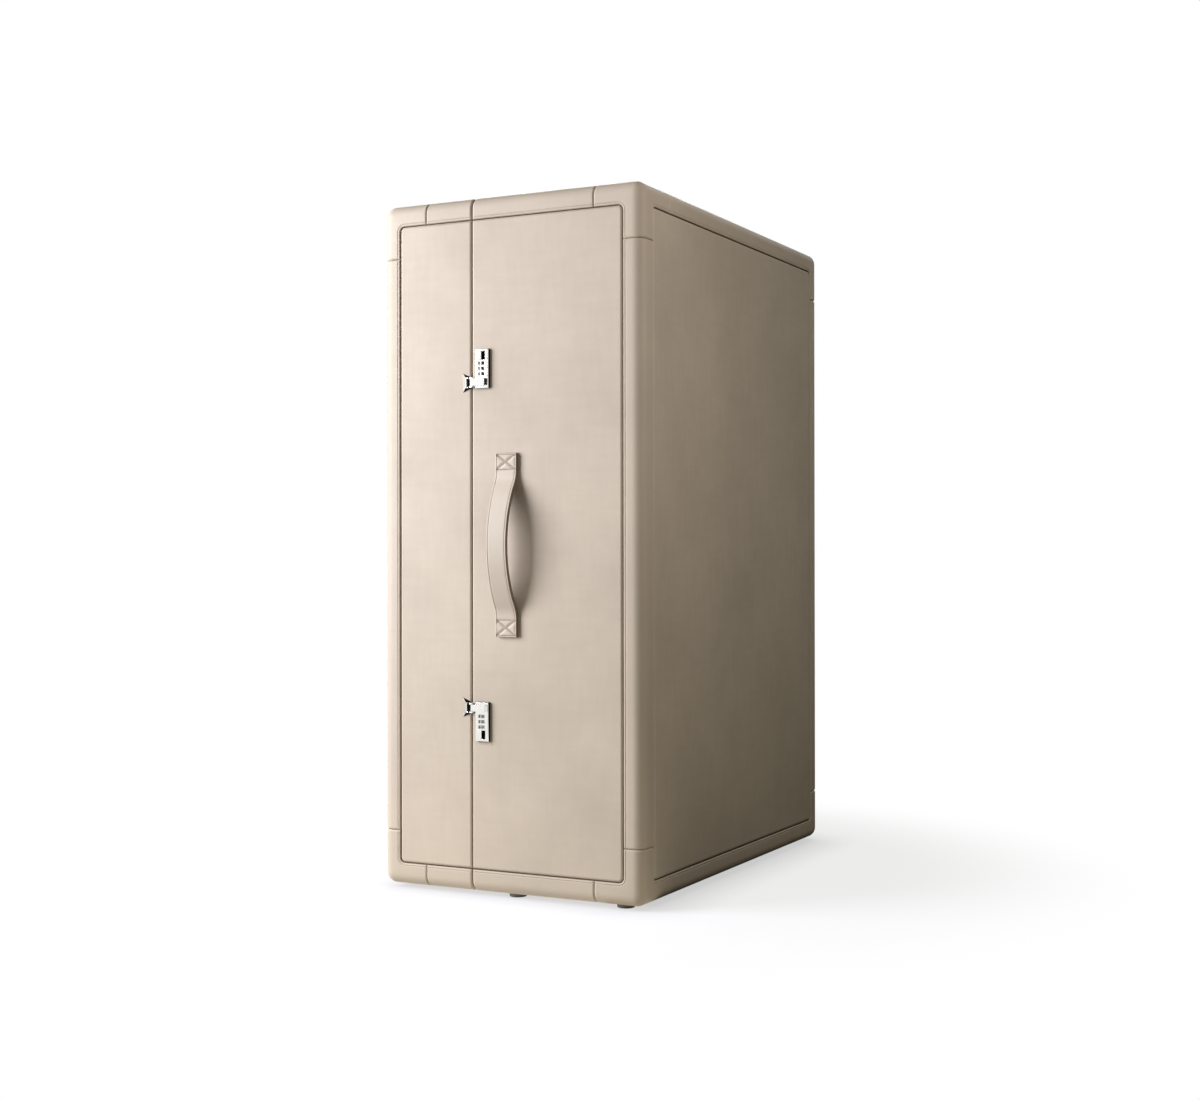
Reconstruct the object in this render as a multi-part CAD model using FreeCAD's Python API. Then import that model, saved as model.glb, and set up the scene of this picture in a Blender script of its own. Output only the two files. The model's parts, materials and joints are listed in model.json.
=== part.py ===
import FreeCAD, Part
import math
import os
from FreeCAD import Vector

# A leather-covered wardrobe trunk that stands on end. Millimetres, +Z up.
# The origin is on the floor, in the middle of everything the closed trunk covers.
# The lid tray is at -X, the body tray at +X. The locks and the handle face -Y.
# The hinges are on the +Y edge of the seam, with upright pins.

# ---------------------------------------------------------------- driving sizes

# The closed trunk over its leather
TRUNK_WIDTH = 512.0
TRUNK_DEPTH = 832.0
TRUNK_HEIGHT = 1200.0
LID_WIDTH = 184.3
SEAM_GAP = 1.0
EDGE_RADIUS = 20.0

# The wall, from the outside in
LEATHER = 3.0
BOARD = 12.0
LINING = 2.0
LINING_CLEARANCE = 2.0
RIM_DEPTH = 14.0

# Leather panels, their grooves, and the corner caps
MARGIN_X = 37.5
MARGIN_Y = 43.7
MARGIN_Z = 40.3
PANEL_CORNER = 8.0
GROOVE = 2.5
CAP_X = 91.0
CAP_Y = 106.0
CAP_Z = 96.0
BUTT_SEAM = 0.4

# The tongue that lines the trays up
TONGUE_THICK = 2.0
TONGUE_ROOT = 20.0
TONGUE_REACH = 8.0
TONGUE_CLEARANCE = 0.6

# Glides under the trunk
FOOT_HEIGHT = 7.0
FOOT_RADIUS = 15.0
FOOT_EASE = 1.0
FOOT_INSET_Y = 36.0
FOOT_FROM_SEAM = 71.0
FOOT_FROM_SIDE = 49.0
LID_FOOT_INSET_Y = 110.0

# Strap handle, two layers of leather
STRAP_WIDTH = 41.0
STRAP_END = 30.5
STRAP_SPAN = 253.5
STRAP_RISE = 32.5
STRAP_LAYER = 3.5
STRAP_FOOT_RADIUS = 80.0
FITTINGS_DROP = 1.5

# Combination locks, one above and one below the handle
LOCK_FROM_MIDDLE = 303.6
LOCK_FROM_SEAM = 9.5
PLATE_WIDTH = 27.0
PLATE_HEIGHT = 67.6
PLATE_PROUD = 6.0
PLATE_CHAMFER = 1.0
CASE_WIDTH = 19.0
CASE_HEIGHT = 58.0
CASE_DEPTH = 7.0
CASE_CLEARANCE = 0.3

DIAL_COUNT = 3
DIAL_PITCH = 9.2
DIAL_HEIGHT = 5.2
DIAL_RADIUS = 6.2
DIAL_PROUD = 1.6
DIAL_FROM_PLATE = 13.0
DIAL_SIDES = 10
DIAL_SIDE_CLEARANCE = 0.25
DIAL_SWEEP_CLEARANCE = 0.5
WINDOW_WIDTH = 12.0
WINDOW_DEPTH = 1.0
SPINDLE_RADIUS = 1.5
SPINDLE_END = 5.5

SLIDER_FROM_CENTRE = 22.4
SLIDER_WIDTH = 7.4
SLIDER_HEIGHT = 14.4
SLIDER_TRAVEL = 7.0
SLIDER_PROUD = 0.6
SLIDER_CLEARANCE = 0.3
SLIDER_FROM_PLATE = 5.9
SLOT_DEPTH = 4.0
SHANK_WIDTH = 3.6
SHANK_HEIGHT = 6.0
SHANK_LENGTH = 4.5

# Hasps, hinged on the lid
HASP_FROM_CENTRE = 23.2
HASP_HEIGHT = 11.8
HASP_THICK = 3.0
HASP_LIFT = 0.3
HASP_REACH = 30.9
HASP_SLOPE = 4.9
HASP_PIVOT_FROM_SEAM = 3.9
BARREL_RADIUS = 3.6
HASP_PIN_RADIUS = 1.0
STUD_WIDTH = 5.0
STUD_HEIGHT = 5.0
STUD_LENGTH = 4.0
STUD_FROM_PIVOT = 19.0
STUD_CLEARANCE = 0.6
STUD_END_CLEARANCE = 2.0
BRACKET_LEFT = 18.0
BRACKET_RIGHT = 1.6
BRACKET_TALL = 34.0
BRACKET_SHORT = 20.0
BRACKET_PROUD = 6.0
BRACKET_BEVEL = 4.0
BRACKET_SLOPE = 9.5
KNUCKLE_HEIGHT = 2.6
KNUCKLE_WEB = 1.8
PIN_CLEARANCE = 0.05
KNUCKLE_GAP = 0.3

# Butt hinges on the back
HINGE_COUNT = 3
HINGE_FROM_END = 150.0
HINGE_HEIGHT = 76.0
HINGE_LEAF = 30.0
HINGE_THICK = 2.0
HINGE_RADIUS = 4.0
HINGE_CLEARANCE = 0.4
HINGE_PIN_RADIUS = 2.0
HINGE_PIN_HEAD = 3.0
HINGE_PIN_HEAD_HEIGHT = 2.5
SCREW_RADIUS = 1.8
SCREW_HEAD_RADIUS = 3.4
SCREW_HEAD_PROUD = 0.8
SCREW_LENGTH = 12.0
SCREWS_PER_LEAF = 3
SCREW_FROM_BARREL = 6.8
SCREW_FROM_EDGE = 5.1

# Inside the body tray
PARTITION_THICK = 10.0
HANGING_BAY = 430.0
FRONT_SETBACK = 22.0
DRAWER_COUNT = 4
DRAWER_PITCH = 210.0
DRAWER_FRONT_HEIGHT = 206.0
DRAWER_FRONT_LIFT = 1.5
DRAWER_SIDE_HEIGHT = 150.0
DRAWER_FRONT_THICK = 14.0
DRAWER_SIDE_THICK = 8.0
DRAWER_BOTTOM_THICK = 5.0
DRAWER_BOTTOM_LIFT = 6.0
DRAWER_SIDE_CLEARANCE = 2.0
DRAWER_BACK_CLEARANCE = 2.0
DRAWER_TRAVEL = 170.0
RUNNER_HEIGHT = 8.0
RUNNER_WIDTH = 18.0
RUNNER_CLEARANCE = 0.5
STOP_LENGTH = 8.0
STOP_HEIGHT = 5.0
STOP_CLEARANCE = 0.5
KNOB_RADIUS = 8.0
KNOB_NECK_RADIUS = 3.5
KNOB_NECK = 5.0
KNOB_HEAD = 5.0
KNOB_DOME = 1.5

# Pull-out rail and its hangers
CHANNEL_WIDTH = 30.0
CHANNEL_HEIGHT = 16.0
CHANNEL_WALL = 3.5
CHANNEL_SLOT = 12.0
SLIDE_CLEARANCE = 0.5
RAIL_DROP = 48.0
RAIL_TRAVEL = 170.0
ROD_RADIUS = 8.0
POST_SIZE = 10.0
HANGER_COUNT = 3
HANGER_PITCH = 80.0
HANGER_THICK = 14.0
HANGER_SPAN = 396.0
HANGER_FALL = 62.0
HANGER_DEEP = 30.0
HANGER_TIP = 18.0
HOOK_WIRE = 2.0
HOOK_CLEARANCE = 0.6
HOOK_TURN = 235.0
HOOK_STEM = 44.0

# Inside the lid tray
SHELF_COUNT = 3
SHELF_PITCH = 270.0
SHELF_THICK = 10.0
SHELF_SETBACK = 12.0
GUARD_RADIUS = 4.0
GUARD_LIFT = 70.0
MIRROR_THICK = 4.0
MIRROR_MARGIN = 26.0
MIRROR_LOW = 120.0
MIRROR_HEIGHT = 900.0

# ---------------------------------------------------------------- worked out

WALL = LEATHER + BOARD
STRAP_PROUD = STRAP_RISE + 2 * STRAP_LAYER
HINGE_PROUD = 2 * HINGE_RADIUS + HINGE_CLEARANCE

LEFT = -TRUNK_WIDTH / 2
RIGHT = TRUNK_WIDTH / 2
SEAM = LEFT + LID_WIDTH
LID_EDGE = SEAM - SEAM_GAP / 2
BODY_EDGE = SEAM + SEAM_GAP / 2
MIDDLE_Y = (STRAP_PROUD - HINGE_PROUD) / 2
FRONT = MIDDLE_Y - TRUNK_DEPTH / 2
BACK = MIDDLE_Y + TRUNK_DEPTH / 2
BOTTOM = FOOT_HEIGHT
TOP = BOTTOM + TRUNK_HEIGHT
FITTINGS_Z = (BOTTOM + TOP) / 2 - FITTINGS_DROP
HINGE_Y = BACK + HINGE_CLEARANCE + HINGE_RADIUS

# Which way each tray lies from the seam
TRAY_SIDE = {"lid": -1, "body": 1}

# The lined hollow that both trays share when the trunk is closed
IN_LEFT = LEFT + WALL + LINING
IN_RIGHT = RIGHT - WALL - LINING
IN_FRONT = FRONT + WALL + LINING
IN_BACK = BACK - WALL - LINING
IN_BOTTOM = BOTTOM + WALL + LINING
IN_TOP = TOP - WALL - LINING

PARTITION_Y = IN_FRONT + HANGING_BAY
DRAWER_BAY_Y = PARTITION_Y + PARTITION_THICK
FITTED_LEFT = BODY_EDGE + FRONT_SETBACK
DRAWER_TOP_Z = IN_BOTTOM + DRAWER_COUNT * DRAWER_PITCH


# ---------------------------------------------------------------- helpers

def block(x0, x1, y0, y1, z0, z1):
    return Part.makeBox(x1 - x0, y1 - y0, z1 - z0, Vector(x0, y0, z0))


def post(radius, x, y, z0, z1):
    return Part.makeCylinder(radius, z1 - z0, Vector(x, y, z0), Vector(0, 0, 1))


def rod_x(radius, x0, x1, y, z):
    return Part.makeCylinder(radius, x1 - x0, Vector(x0, y, z), Vector(1, 0, 0))


def rod_y(radius, x, y0, y1, z):
    return Part.makeCylinder(radius, y1 - y0, Vector(x, y0, z), Vector(0, 1, 0))


def prism(points, direction):
    """A flat outline pushed along one direction."""
    outline = Part.makePolygon([Vector(*p) for p in points + points[:1]])
    return Part.Face(outline).extrude(Vector(*direction))


def save(node, solids):
    shape = solids[0] if len(solids) == 1 else Part.makeCompound(solids)
    shape.exportStep("parts/" + node + ".step")


def plate_with_round_corners(corner_low, corner_high, normal, radius):
    """A flat plate whose four edges along the normal are rounded."""
    plate = block(corner_low[0], corner_high[0], corner_low[1], corner_high[1],
                  corner_low[2], corner_high[2])
    along = []
    for edge in plate.Edges:
        run = edge.Vertexes[1].Point - edge.Vertexes[0].Point
        if abs(run[normal]) > 1e-6:
            along.append(edge)
    return plate.makeFillet(radius, along)


def trunk_box(inset):
    """The trunk's outer form moved in by an inset, with its edges still round."""
    form = block(LEFT + inset, RIGHT - inset, FRONT + inset, BACK - inset,
                 BOTTOM + inset, TOP - inset)
    radius = EDGE_RADIUS - inset
    if radius > 0:
        form = form.makeFillet(radius, form.Edges)
    return form


# ---------------------------------------------------------------- trays

def wall_pieces(shell, x0, x1):
    """The four boards round the trunk between two X planes: top, bottom, front, back."""
    low = BOTTOM + WALL
    high = TOP - WALL
    regions = [
        block(x0, x1, FRONT, BACK, high, TOP),
        block(x0, x1, FRONT, BACK, BOTTOM, low),
        block(x0, x1, FRONT, FRONT + WALL, low, high),
        block(x0, x1, BACK - WALL, BACK, low, high),
    ]
    return [shell.common(region).Solids[0] for region in regions]


def carcass(prefix, boards_x0, boards_x1, side_x0, side_x1, rim_x0, rim_x1):
    shell = trunk_box(LEATHER).cut(trunk_box(WALL))
    top, bottom, front, back = wall_pieces(shell, boards_x0, boards_x1)
    side = trunk_box(LEATHER).common(block(side_x0, side_x1, FRONT, BACK, BOTTOM, TOP))
    rims = wall_pieces(shell, rim_x0, rim_x1)
    if prefix == "body":
        pockets = [lock_pocket(centre_z) for centre_z, up in lock_places()]
        front = front.cut(pockets)
        rims[2] = rims[2].cut(pockets)
    save(prefix + "_end_boards", [top, bottom])
    save(prefix + "_front_board", [front])
    holes = screw_holes(TRAY_SIDE[prefix])
    rims[3] = rims[3].cut(holes)
    save(prefix + "_back_board", [back.cut(holes)])
    save(prefix + "_side_board", side.Solids)
    save(prefix + "_rim", rims)


def linings(prefix, x0, x1, side_x0, side_x1):
    """Cloth over card on the side, the top, the bottom, the front and the back."""
    save(prefix + "_linings", [
        block(side_x0, side_x1, IN_FRONT, IN_BACK, IN_BOTTOM, IN_TOP),
        block(x0, x1, IN_FRONT - LINING, IN_BACK + LINING, IN_TOP, IN_TOP + LINING),
        block(x0, x1, IN_FRONT - LINING, IN_BACK + LINING, IN_BOTTOM - LINING, IN_BOTTOM),
        block(x0, x1, IN_FRONT - LINING, IN_FRONT, IN_BOTTOM, IN_TOP),
        block(x0, x1, IN_BACK, IN_BACK + LINING, IN_BOTTOM, IN_TOP),
    ])


def closing_tongue():
    """Stepped strips inside the body's rim that reach into the lid on three sides."""
    root_x = BODY_EDGE + TONGUE_ROOT
    tip_x = BODY_EDGE - TONGUE_REACH
    shell_z = (BOTTOM + WALL, TOP - WALL)
    deep = TONGUE_CLEARANCE + TONGUE_THICK
    strips = []
    for wall, inward in ((shell_z[0], 1), (shell_z[1], -1)):
        profile = [
            (root_x, wall), (BODY_EDGE, wall),
            (BODY_EDGE, wall + inward * TONGUE_CLEARANCE),
            (tip_x, wall + inward * TONGUE_CLEARANCE),
            (tip_x, wall + inward * deep), (root_x, wall + inward * deep),
        ]
        y0 = FRONT + WALL + deep
        points = [(x, y0, z) for x, z in profile]
        strips.append(prism(points, (0, IN_BACK - y0, 0)))
    wall = FRONT + WALL
    profile = [
        (root_x, wall), (BODY_EDGE, wall),
        (BODY_EDGE, wall + TONGUE_CLEARANCE), (tip_x, wall + TONGUE_CLEARANCE),
        (tip_x, wall + deep), (root_x, wall + deep),
    ]
    z0 = shell_z[0] + deep
    points = [(x, y, z0) for x, y in profile]
    strips.append(prism(points, (0, 0, shell_z[1] - deep - z0)))
    save("closing_tongue", strips)


# ---------------------------------------------------------------- leather

def face_rectangles(grow):
    """Low corner, high corner and normal axis of each face's panel, grown all round."""
    x0, x1 = LEFT + MARGIN_X - grow, RIGHT - MARGIN_X + grow
    y0, y1 = FRONT + MARGIN_Y - grow, BACK - MARGIN_Y + grow
    z0, z1 = BOTTOM + MARGIN_Z - grow, TOP - MARGIN_Z + grow
    return [
        ((LEFT, y0, z0), (LEFT + LEATHER, y1, z1), 0),
        ((RIGHT - LEATHER, y0, z0), (RIGHT, y1, z1), 0),
        ((x0, FRONT, z0), (x1, FRONT + LEATHER, z1), 1),
        ((x0, BACK - LEATHER, z0), (x1, BACK, z1), 1),
        ((x0, y0, BOTTOM), (x1, y1, BOTTOM + LEATHER), 2),
        ((x0, y0, TOP - LEATHER), (x1, y1, TOP), 2),
    ]


def seam_slab():
    return block(LID_EDGE, BODY_EDGE, FRONT, BACK, BOTTOM, TOP)


def share_out(solids):
    """Pieces of the lid and pieces of the body, told apart by the seam."""
    lid = [s for s in solids if s.CenterOfMass.x < SEAM]
    body = [s for s in solids if s.CenterOfMass.x > SEAM]
    return {"lid": lid, "body": body}


def leather_panels():
    panels = []
    for low, high, normal in face_rectangles(0):
        plate = plate_with_round_corners(low, high, normal, PANEL_CORNER)
        panels.extend(plate.cut(seam_slab()).Solids)
    shared = share_out(panels)
    for centre_z, up in lock_places():
        shared["body"] = [s.cut(lock_pocket(centre_z)).Solids[0] for s in shared["body"]]
    for prefix, solids in shared.items():
        holes = screw_holes(TRAY_SIDE[prefix])
        save(prefix + "_leather_panels", [s.cut(holes).Solids[0] for s in solids])


def leather_bindings():
    """Strips over the edges and caps over the corners, butted with a fine seam."""
    skin = trunk_box(0).cut(trunk_box(LEATHER))
    tools = [seam_slab()]
    for low, high, normal in face_rectangles(GROOVE):
        tools.append(plate_with_round_corners(low, high, normal, PANEL_CORNER + GROOVE))
    half = BUTT_SEAM / 2
    for x in (LEFT + CAP_X, RIGHT - CAP_X):
        tools.append(block(x - half, x + half, FRONT, BACK, BOTTOM, TOP))
    for y in (FRONT + CAP_Y, BACK - CAP_Y):
        tools.append(block(LEFT, RIGHT, y - half, y + half, BOTTOM, TOP))
    for z in (BOTTOM + CAP_Z, TOP - CAP_Z):
        tools.append(block(LEFT, RIGHT, FRONT, BACK, z - half, z + half))
    caps = []
    strips = []
    for solid in skin.cut(tools).Solids:
        centre = solid.CenterOfMass
        in_x = min(centre.x - LEFT, RIGHT - centre.x) < CAP_X
        in_y = min(centre.y - FRONT, BACK - centre.y) < CAP_Y
        in_z = min(centre.z - BOTTOM, TOP - centre.z) < CAP_Z
        (caps if in_x and in_y and in_z else strips).append(solid)
    for prefix, solids in share_out(caps).items():
        save(prefix + "_corner_caps", solids)
    for prefix, solids in share_out(strips).items():
        save(prefix + "_edge_bindings", solids)


# ---------------------------------------------------------------- glides

def foot(x, y):
    """A low glide with its bottom edge eased, so that it slides over a carpet."""
    disc = post(FOOT_RADIUS, x, y, 0, FOOT_HEIGHT)
    low_edge = [e for e in disc.Edges if e.BoundBox.ZMax < 1e-6]
    return disc.makeChamfer(FOOT_EASE, low_edge)


def feet():
    body_x = (SEAM + FOOT_FROM_SEAM, RIGHT - FOOT_FROM_SIDE)
    body_y = (FRONT + FOOT_INSET_Y, BACK - FOOT_INSET_Y)
    save("body_feet", [foot(x, y) for x in body_x for y in body_y])
    lid_x = (LEFT + SEAM) / 2
    lid_y = (FRONT + LID_FOOT_INSET_Y, BACK - LID_FOOT_INSET_Y)
    save("lid_feet", [foot(lid_x, y) for y in lid_y])


# ---------------------------------------------------------------- handle

def strap_curve(offset):
    """The strap's line at one depth: flat ends, a foot bend and a long bow.

    Each point is (how far it stands from the face, height). Two arcs that meet
    in a common tangent carry the line from the flat end to the top of the bow.
    """
    half = STRAP_SPAN / 2
    turn = 2 * math.atan(STRAP_RISE / half)
    both = half / math.sin(turn)
    bow_radius = both - STRAP_FOOT_RADIUS
    bow_centre = STRAP_RISE - bow_radius
    foot_r = STRAP_FOOT_RADIUS - offset
    bow_r = bow_radius + offset

    def on_foot(angle, side):
        return (STRAP_FOOT_RADIUS - foot_r * math.cos(angle),
                side * (half - foot_r * math.sin(angle)))

    def on_bow(angle, side):
        return (bow_centre + bow_r * math.cos(angle), side * bow_r * math.sin(angle))

    end = half + STRAP_END
    return [
        ("line", (offset, -end), (offset, -half)),
        ("arc", (offset, -half), on_foot(turn / 2, -1), on_foot(turn, -1)),
        ("arc", on_foot(turn, -1), on_bow(0, 1), on_foot(turn, 1)),
        ("arc", on_foot(turn, 1), on_foot(turn / 2, 1), (offset, half)),
        ("line", (offset, half), (offset, end)),
    ]


def strap_layer(inner, outer):
    x0 = -STRAP_WIDTH / 2

    def place(point):
        return Vector(x0, FRONT - point[0], FITTINGS_Z + point[1])

    edges = []
    for offset in (inner, outer):
        for kind, *points in strap_curve(offset):
            places = [place(p) for p in points]
            if kind == "line":
                edges.append(Part.LineSegment(*places).toShape())
            else:
                edges.append(Part.Arc(*places).toShape())
    end = STRAP_SPAN / 2 + STRAP_END
    for side in (-1, 1):
        ends = [place((inner, side * end)), place((outer, side * end))]
        edges.append(Part.LineSegment(*ends).toShape())
    outline = Part.Wire(Part.__sortEdges__(edges))
    return Part.Face(outline).extrude(Vector(STRAP_WIDTH, 0, 0))


def handle():
    save("handle_backing", [strap_layer(0, STRAP_LAYER)])
    save("handle_strap", [strap_layer(STRAP_LAYER, 2 * STRAP_LAYER)])


# ---------------------------------------------------------------- locks

PLATE_X = SEAM + LOCK_FROM_SEAM
DIAL_X = PLATE_X + DIAL_FROM_PLATE
DIAL_Y = FRONT - PLATE_PROUD - DIAL_PROUD + DIAL_RADIUS
PIVOT_X = SEAM + HASP_PIVOT_FROM_SEAM
PIVOT_Y = FRONT - PLATE_PROUD - HASP_LIFT - HASP_THICK + BARREL_RADIUS


def lock_places():
    """Height of each lock's centre, and which way its slider lies from there."""
    return [
        (FITTINGS_Z + LOCK_FROM_MIDDLE, 1),
        (FITTINGS_Z - LOCK_FROM_MIDDLE, -1),
    ]


def lock_names():
    return ["upper", "lower"]


def case_block(centre_z, clearance):
    middle_x = PLATE_X + PLATE_WIDTH / 2
    half_x = CASE_WIDTH / 2 + clearance
    half_z = CASE_HEIGHT / 2 + clearance
    return block(middle_x - half_x, middle_x + half_x, FRONT, FRONT + CASE_DEPTH + clearance,
                 centre_z - half_z, centre_z + half_z)


def lock_pocket(centre_z):
    return case_block(centre_z, CASE_CLEARANCE)


def dial_heights(centre_z):
    first = -(DIAL_COUNT - 1) / 2
    return [centre_z + (first + k) * DIAL_PITCH for k in range(DIAL_COUNT)]


def slider_span(centre_z, up, extra):
    middle = centre_z + up * SLIDER_FROM_CENTRE
    half = SLIDER_HEIGHT / 2 + extra
    return middle - half, middle + half


def lock_plate(centre_z, up):
    y_top = FRONT - PLATE_PROUD
    plate = block(PLATE_X, PLATE_X + PLATE_WIDTH, y_top, FRONT,
                  centre_z - PLATE_HEIGHT / 2, centre_z + PLATE_HEIGHT / 2)
    rim = [e for e in plate.Edges if all(abs(v.Point.y - y_top) < 1e-6 for v in e.Vertexes)]
    plate = plate.makeChamfer(PLATE_CHAMFER, rim)
    plate = plate.fuse(case_block(centre_z, 0))
    tools = []
    for z in dial_heights(centre_z):
        half = DIAL_HEIGHT / 2 + DIAL_SIDE_CLEARANCE
        sweep = DIAL_RADIUS + DIAL_SWEEP_CLEARANCE
        tools.append(post(sweep, DIAL_X, DIAL_Y, z - half, z + half))
        tools.append(block(DIAL_X - WINDOW_WIDTH / 2, DIAL_X + WINDOW_WIDTH / 2,
                           y_top, y_top + WINDOW_DEPTH, z - half, z + half))
    tools.append(spindle(centre_z))
    slot_x = PLATE_X + SLIDER_FROM_PLATE
    z0, z1 = slider_span(centre_z, up, SLIDER_CLEARANCE)
    tools.append(block(slot_x - SLIDER_CLEARANCE,
                       slot_x + SLIDER_WIDTH + SLIDER_TRAVEL + SLIDER_CLEARANCE,
                       y_top, y_top + SLOT_DEPTH, z0, z1))
    shank_x = slot_x + (SLIDER_WIDTH - SHANK_WIDTH) / 2
    shank_z = (z0 + z1) / 2
    half = SHANK_HEIGHT / 2 + SLIDER_CLEARANCE
    tools.append(block(shank_x - SLIDER_CLEARANCE,
                       shank_x + SHANK_WIDTH + SLIDER_TRAVEL + SLIDER_CLEARANCE,
                       y_top, y_top + SLOT_DEPTH + SHANK_LENGTH, shank_z - half, shank_z + half))
    hasp_z = centre_z - up * HASP_FROM_CENTRE
    half = STUD_HEIGHT / 2 + STUD_CLEARANCE
    stud_end = PIVOT_X + STUD_FROM_PIVOT + STUD_WIDTH + STUD_END_CLEARANCE
    stud_deep = STUD_LENGTH - HASP_LIFT + STUD_CLEARANCE
    tools.append(block(PLATE_X, stud_end, y_top, y_top + stud_deep, hasp_z - half, hasp_z + half))
    return plate.cut(tools)


def spindle(centre_z):
    reach = (DIAL_COUNT - 1) / 2 * DIAL_PITCH + SPINDLE_END
    return post(SPINDLE_RADIUS, DIAL_X, DIAL_Y, centre_z - reach, centre_z + reach)


def dial(z):
    """A ten-sided drum, so that each number has its own flat."""
    points = []
    for k in range(DIAL_SIDES):
        angle = 2 * math.pi * (k + 0.5) / DIAL_SIDES
        points.append((DIAL_X + DIAL_RADIUS * math.cos(angle),
                       DIAL_Y + DIAL_RADIUS * math.sin(angle), z - DIAL_HEIGHT / 2))
    drum = prism(points, (0, 0, DIAL_HEIGHT))
    bore = post(SPINDLE_RADIUS + PIN_CLEARANCE, DIAL_X, DIAL_Y,
                z - DIAL_HEIGHT / 2, z + DIAL_HEIGHT / 2)
    return drum.cut(bore)


def slider(centre_z, up):
    y_top = FRONT - PLATE_PROUD
    x0 = PLATE_X + SLIDER_FROM_PLATE
    z0, z1 = slider_span(centre_z, up, 0)
    y_floor = y_top + SLOT_DEPTH - SLIDER_CLEARANCE
    button = block(x0, x0 + SLIDER_WIDTH, y_top - SLIDER_PROUD, y_floor, z0, z1)
    shank_x = x0 + (SLIDER_WIDTH - SHANK_WIDTH) / 2
    shank_z = (z0 + z1) / 2
    shank = block(shank_x, shank_x + SHANK_WIDTH, y_floor, y_floor + SHANK_LENGTH,
                  shank_z - SHANK_HEIGHT / 2, shank_z + SHANK_HEIGHT / 2)
    return button.fuse(shank).removeSplitter()


def hasp_arm(z):
    """A flat arm off a barrel, with a sloped tip and a stud that enters the plate."""
    y_under = FRONT - PLATE_PROUD - HASP_LIFT
    y_over = y_under - HASP_THICK
    tip = PIVOT_X + HASP_REACH
    z0 = z - HASP_HEIGHT / 2
    arm = prism([(PIVOT_X, y_over, z0), (tip - HASP_SLOPE, y_over, z0), (tip, y_under, z0),
                 (PIVOT_X, y_under, z0)], (0, 0, HASP_HEIGHT))
    barrel = post(BARREL_RADIUS, PIVOT_X, PIVOT_Y, z0, z0 + HASP_HEIGHT)
    stud_x = PIVOT_X + STUD_FROM_PIVOT
    stud = block(stud_x, stud_x + STUD_WIDTH, y_under, y_under + STUD_LENGTH,
                 z - STUD_HEIGHT / 2, z + STUD_HEIGHT / 2)
    bore = post(HASP_PIN_RADIUS + PIN_CLEARANCE, PIVOT_X, PIVOT_Y, z0, z0 + HASP_HEIGHT)
    return arm.fuse([barrel, stud]).cut(bore).removeSplitter()


def knuckle_heights(z):
    """The two knuckles above and below a hasp's barrel, as (low, high) pairs."""
    near = HASP_HEIGHT / 2 + KNUCKLE_GAP
    far = near + KNUCKLE_HEIGHT
    return [(z + near, z + far), (z - far, z - near)]


def hasp_bracket(z):
    """A flared foot on the lid that carries the hasp's two knuckles."""
    x0, x1 = SEAM - BRACKET_LEFT, SEAM - BRACKET_RIGHT
    tall, short = BRACKET_TALL / 2, BRACKET_SHORT / 2
    slope = (short - tall) / (x1 - x0)
    inset = BRACKET_BEVEL * math.sqrt(1 + slope * slope)
    y_top = FRONT - BRACKET_PROUD
    base = [(x0, FRONT, z - tall), (x1, FRONT, z - short), (x1, FRONT, z + short),
            (x0, FRONT, z + tall)]
    left_x = x0 + BRACKET_SLOPE
    left_half = tall + slope * BRACKET_SLOPE - inset
    crown = [(left_x, y_top, z - left_half), (x1, y_top, z - short + inset),
             (x1, y_top, z + short - inset), (left_x, y_top, z + left_half)]
    wires = [Part.makePolygon([Vector(*p) for p in ring + ring[:1]]) for ring in (base, crown)]
    bracket = Part.makeLoft(wires, True, True)
    bore = post(HASP_PIN_RADIUS + PIN_CLEARANCE, PIVOT_X, PIVOT_Y,
                z - BRACKET_TALL / 2, z + BRACKET_TALL / 2)
    for z0, z1 in knuckle_heights(z):
        web = block(left_x, PIVOT_X, y_top, PIVOT_Y + KNUCKLE_WEB, z0, z1)
        knuckle = post(BARREL_RADIUS, PIVOT_X, PIVOT_Y, z0, z1)
        bracket = bracket.fuse([web, knuckle])
    return bracket.cut(bore).removeSplitter()


def hasp_pin(z):
    ends = knuckle_heights(z)
    return post(HASP_PIN_RADIUS, PIVOT_X, PIVOT_Y, ends[1][0], ends[0][1])


def locks():
    plates = []
    spindles = []
    brackets = []
    pins = []
    for name, (centre_z, up) in zip(lock_names(), lock_places()):
        plates.append(lock_plate(centre_z, up))
        spindles.append(spindle(centre_z))
        hasp_z = centre_z - up * HASP_FROM_CENTRE
        brackets.append(hasp_bracket(hasp_z))
        pins.append(hasp_pin(hasp_z))
        save("hasp_arm_" + name, [hasp_arm(hasp_z)])
        save("lock_slider_" + name, [slider(centre_z, up)])
        for k, z in enumerate(dial_heights(centre_z)):
            save("dial_%s_%d" % (name, k + 1), [dial(z)])
    save("lock_plates", plates)
    save("lock_spindles", spindles)
    save("hasp_brackets", brackets)
    save("hasp_pins", pins)


# ---------------------------------------------------------------- hinges

def hinge_heights():
    low = BOTTOM + HINGE_FROM_END
    high = TOP - HINGE_FROM_END
    step = (high - low) / (HINGE_COUNT - 1)
    return [low + k * step for k in range(HINGE_COUNT)]


def screw_places(z, side):
    """The screws of one leaf, on a zigzag. Side is +1 on the body and -1 on the lid."""
    near = HINGE_RADIUS + SCREW_FROM_BARREL
    far = HINGE_LEAF - SCREW_FROM_EDGE
    gap = HINGE_HEIGHT / SCREWS_PER_LEAF
    places = []
    for k in range(SCREWS_PER_LEAF):
        across = far if k % 2 == 0 else near
        places.append((SEAM + side * across, z + (k - (SCREWS_PER_LEAF - 1) / 2) * gap))
    return places


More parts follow.
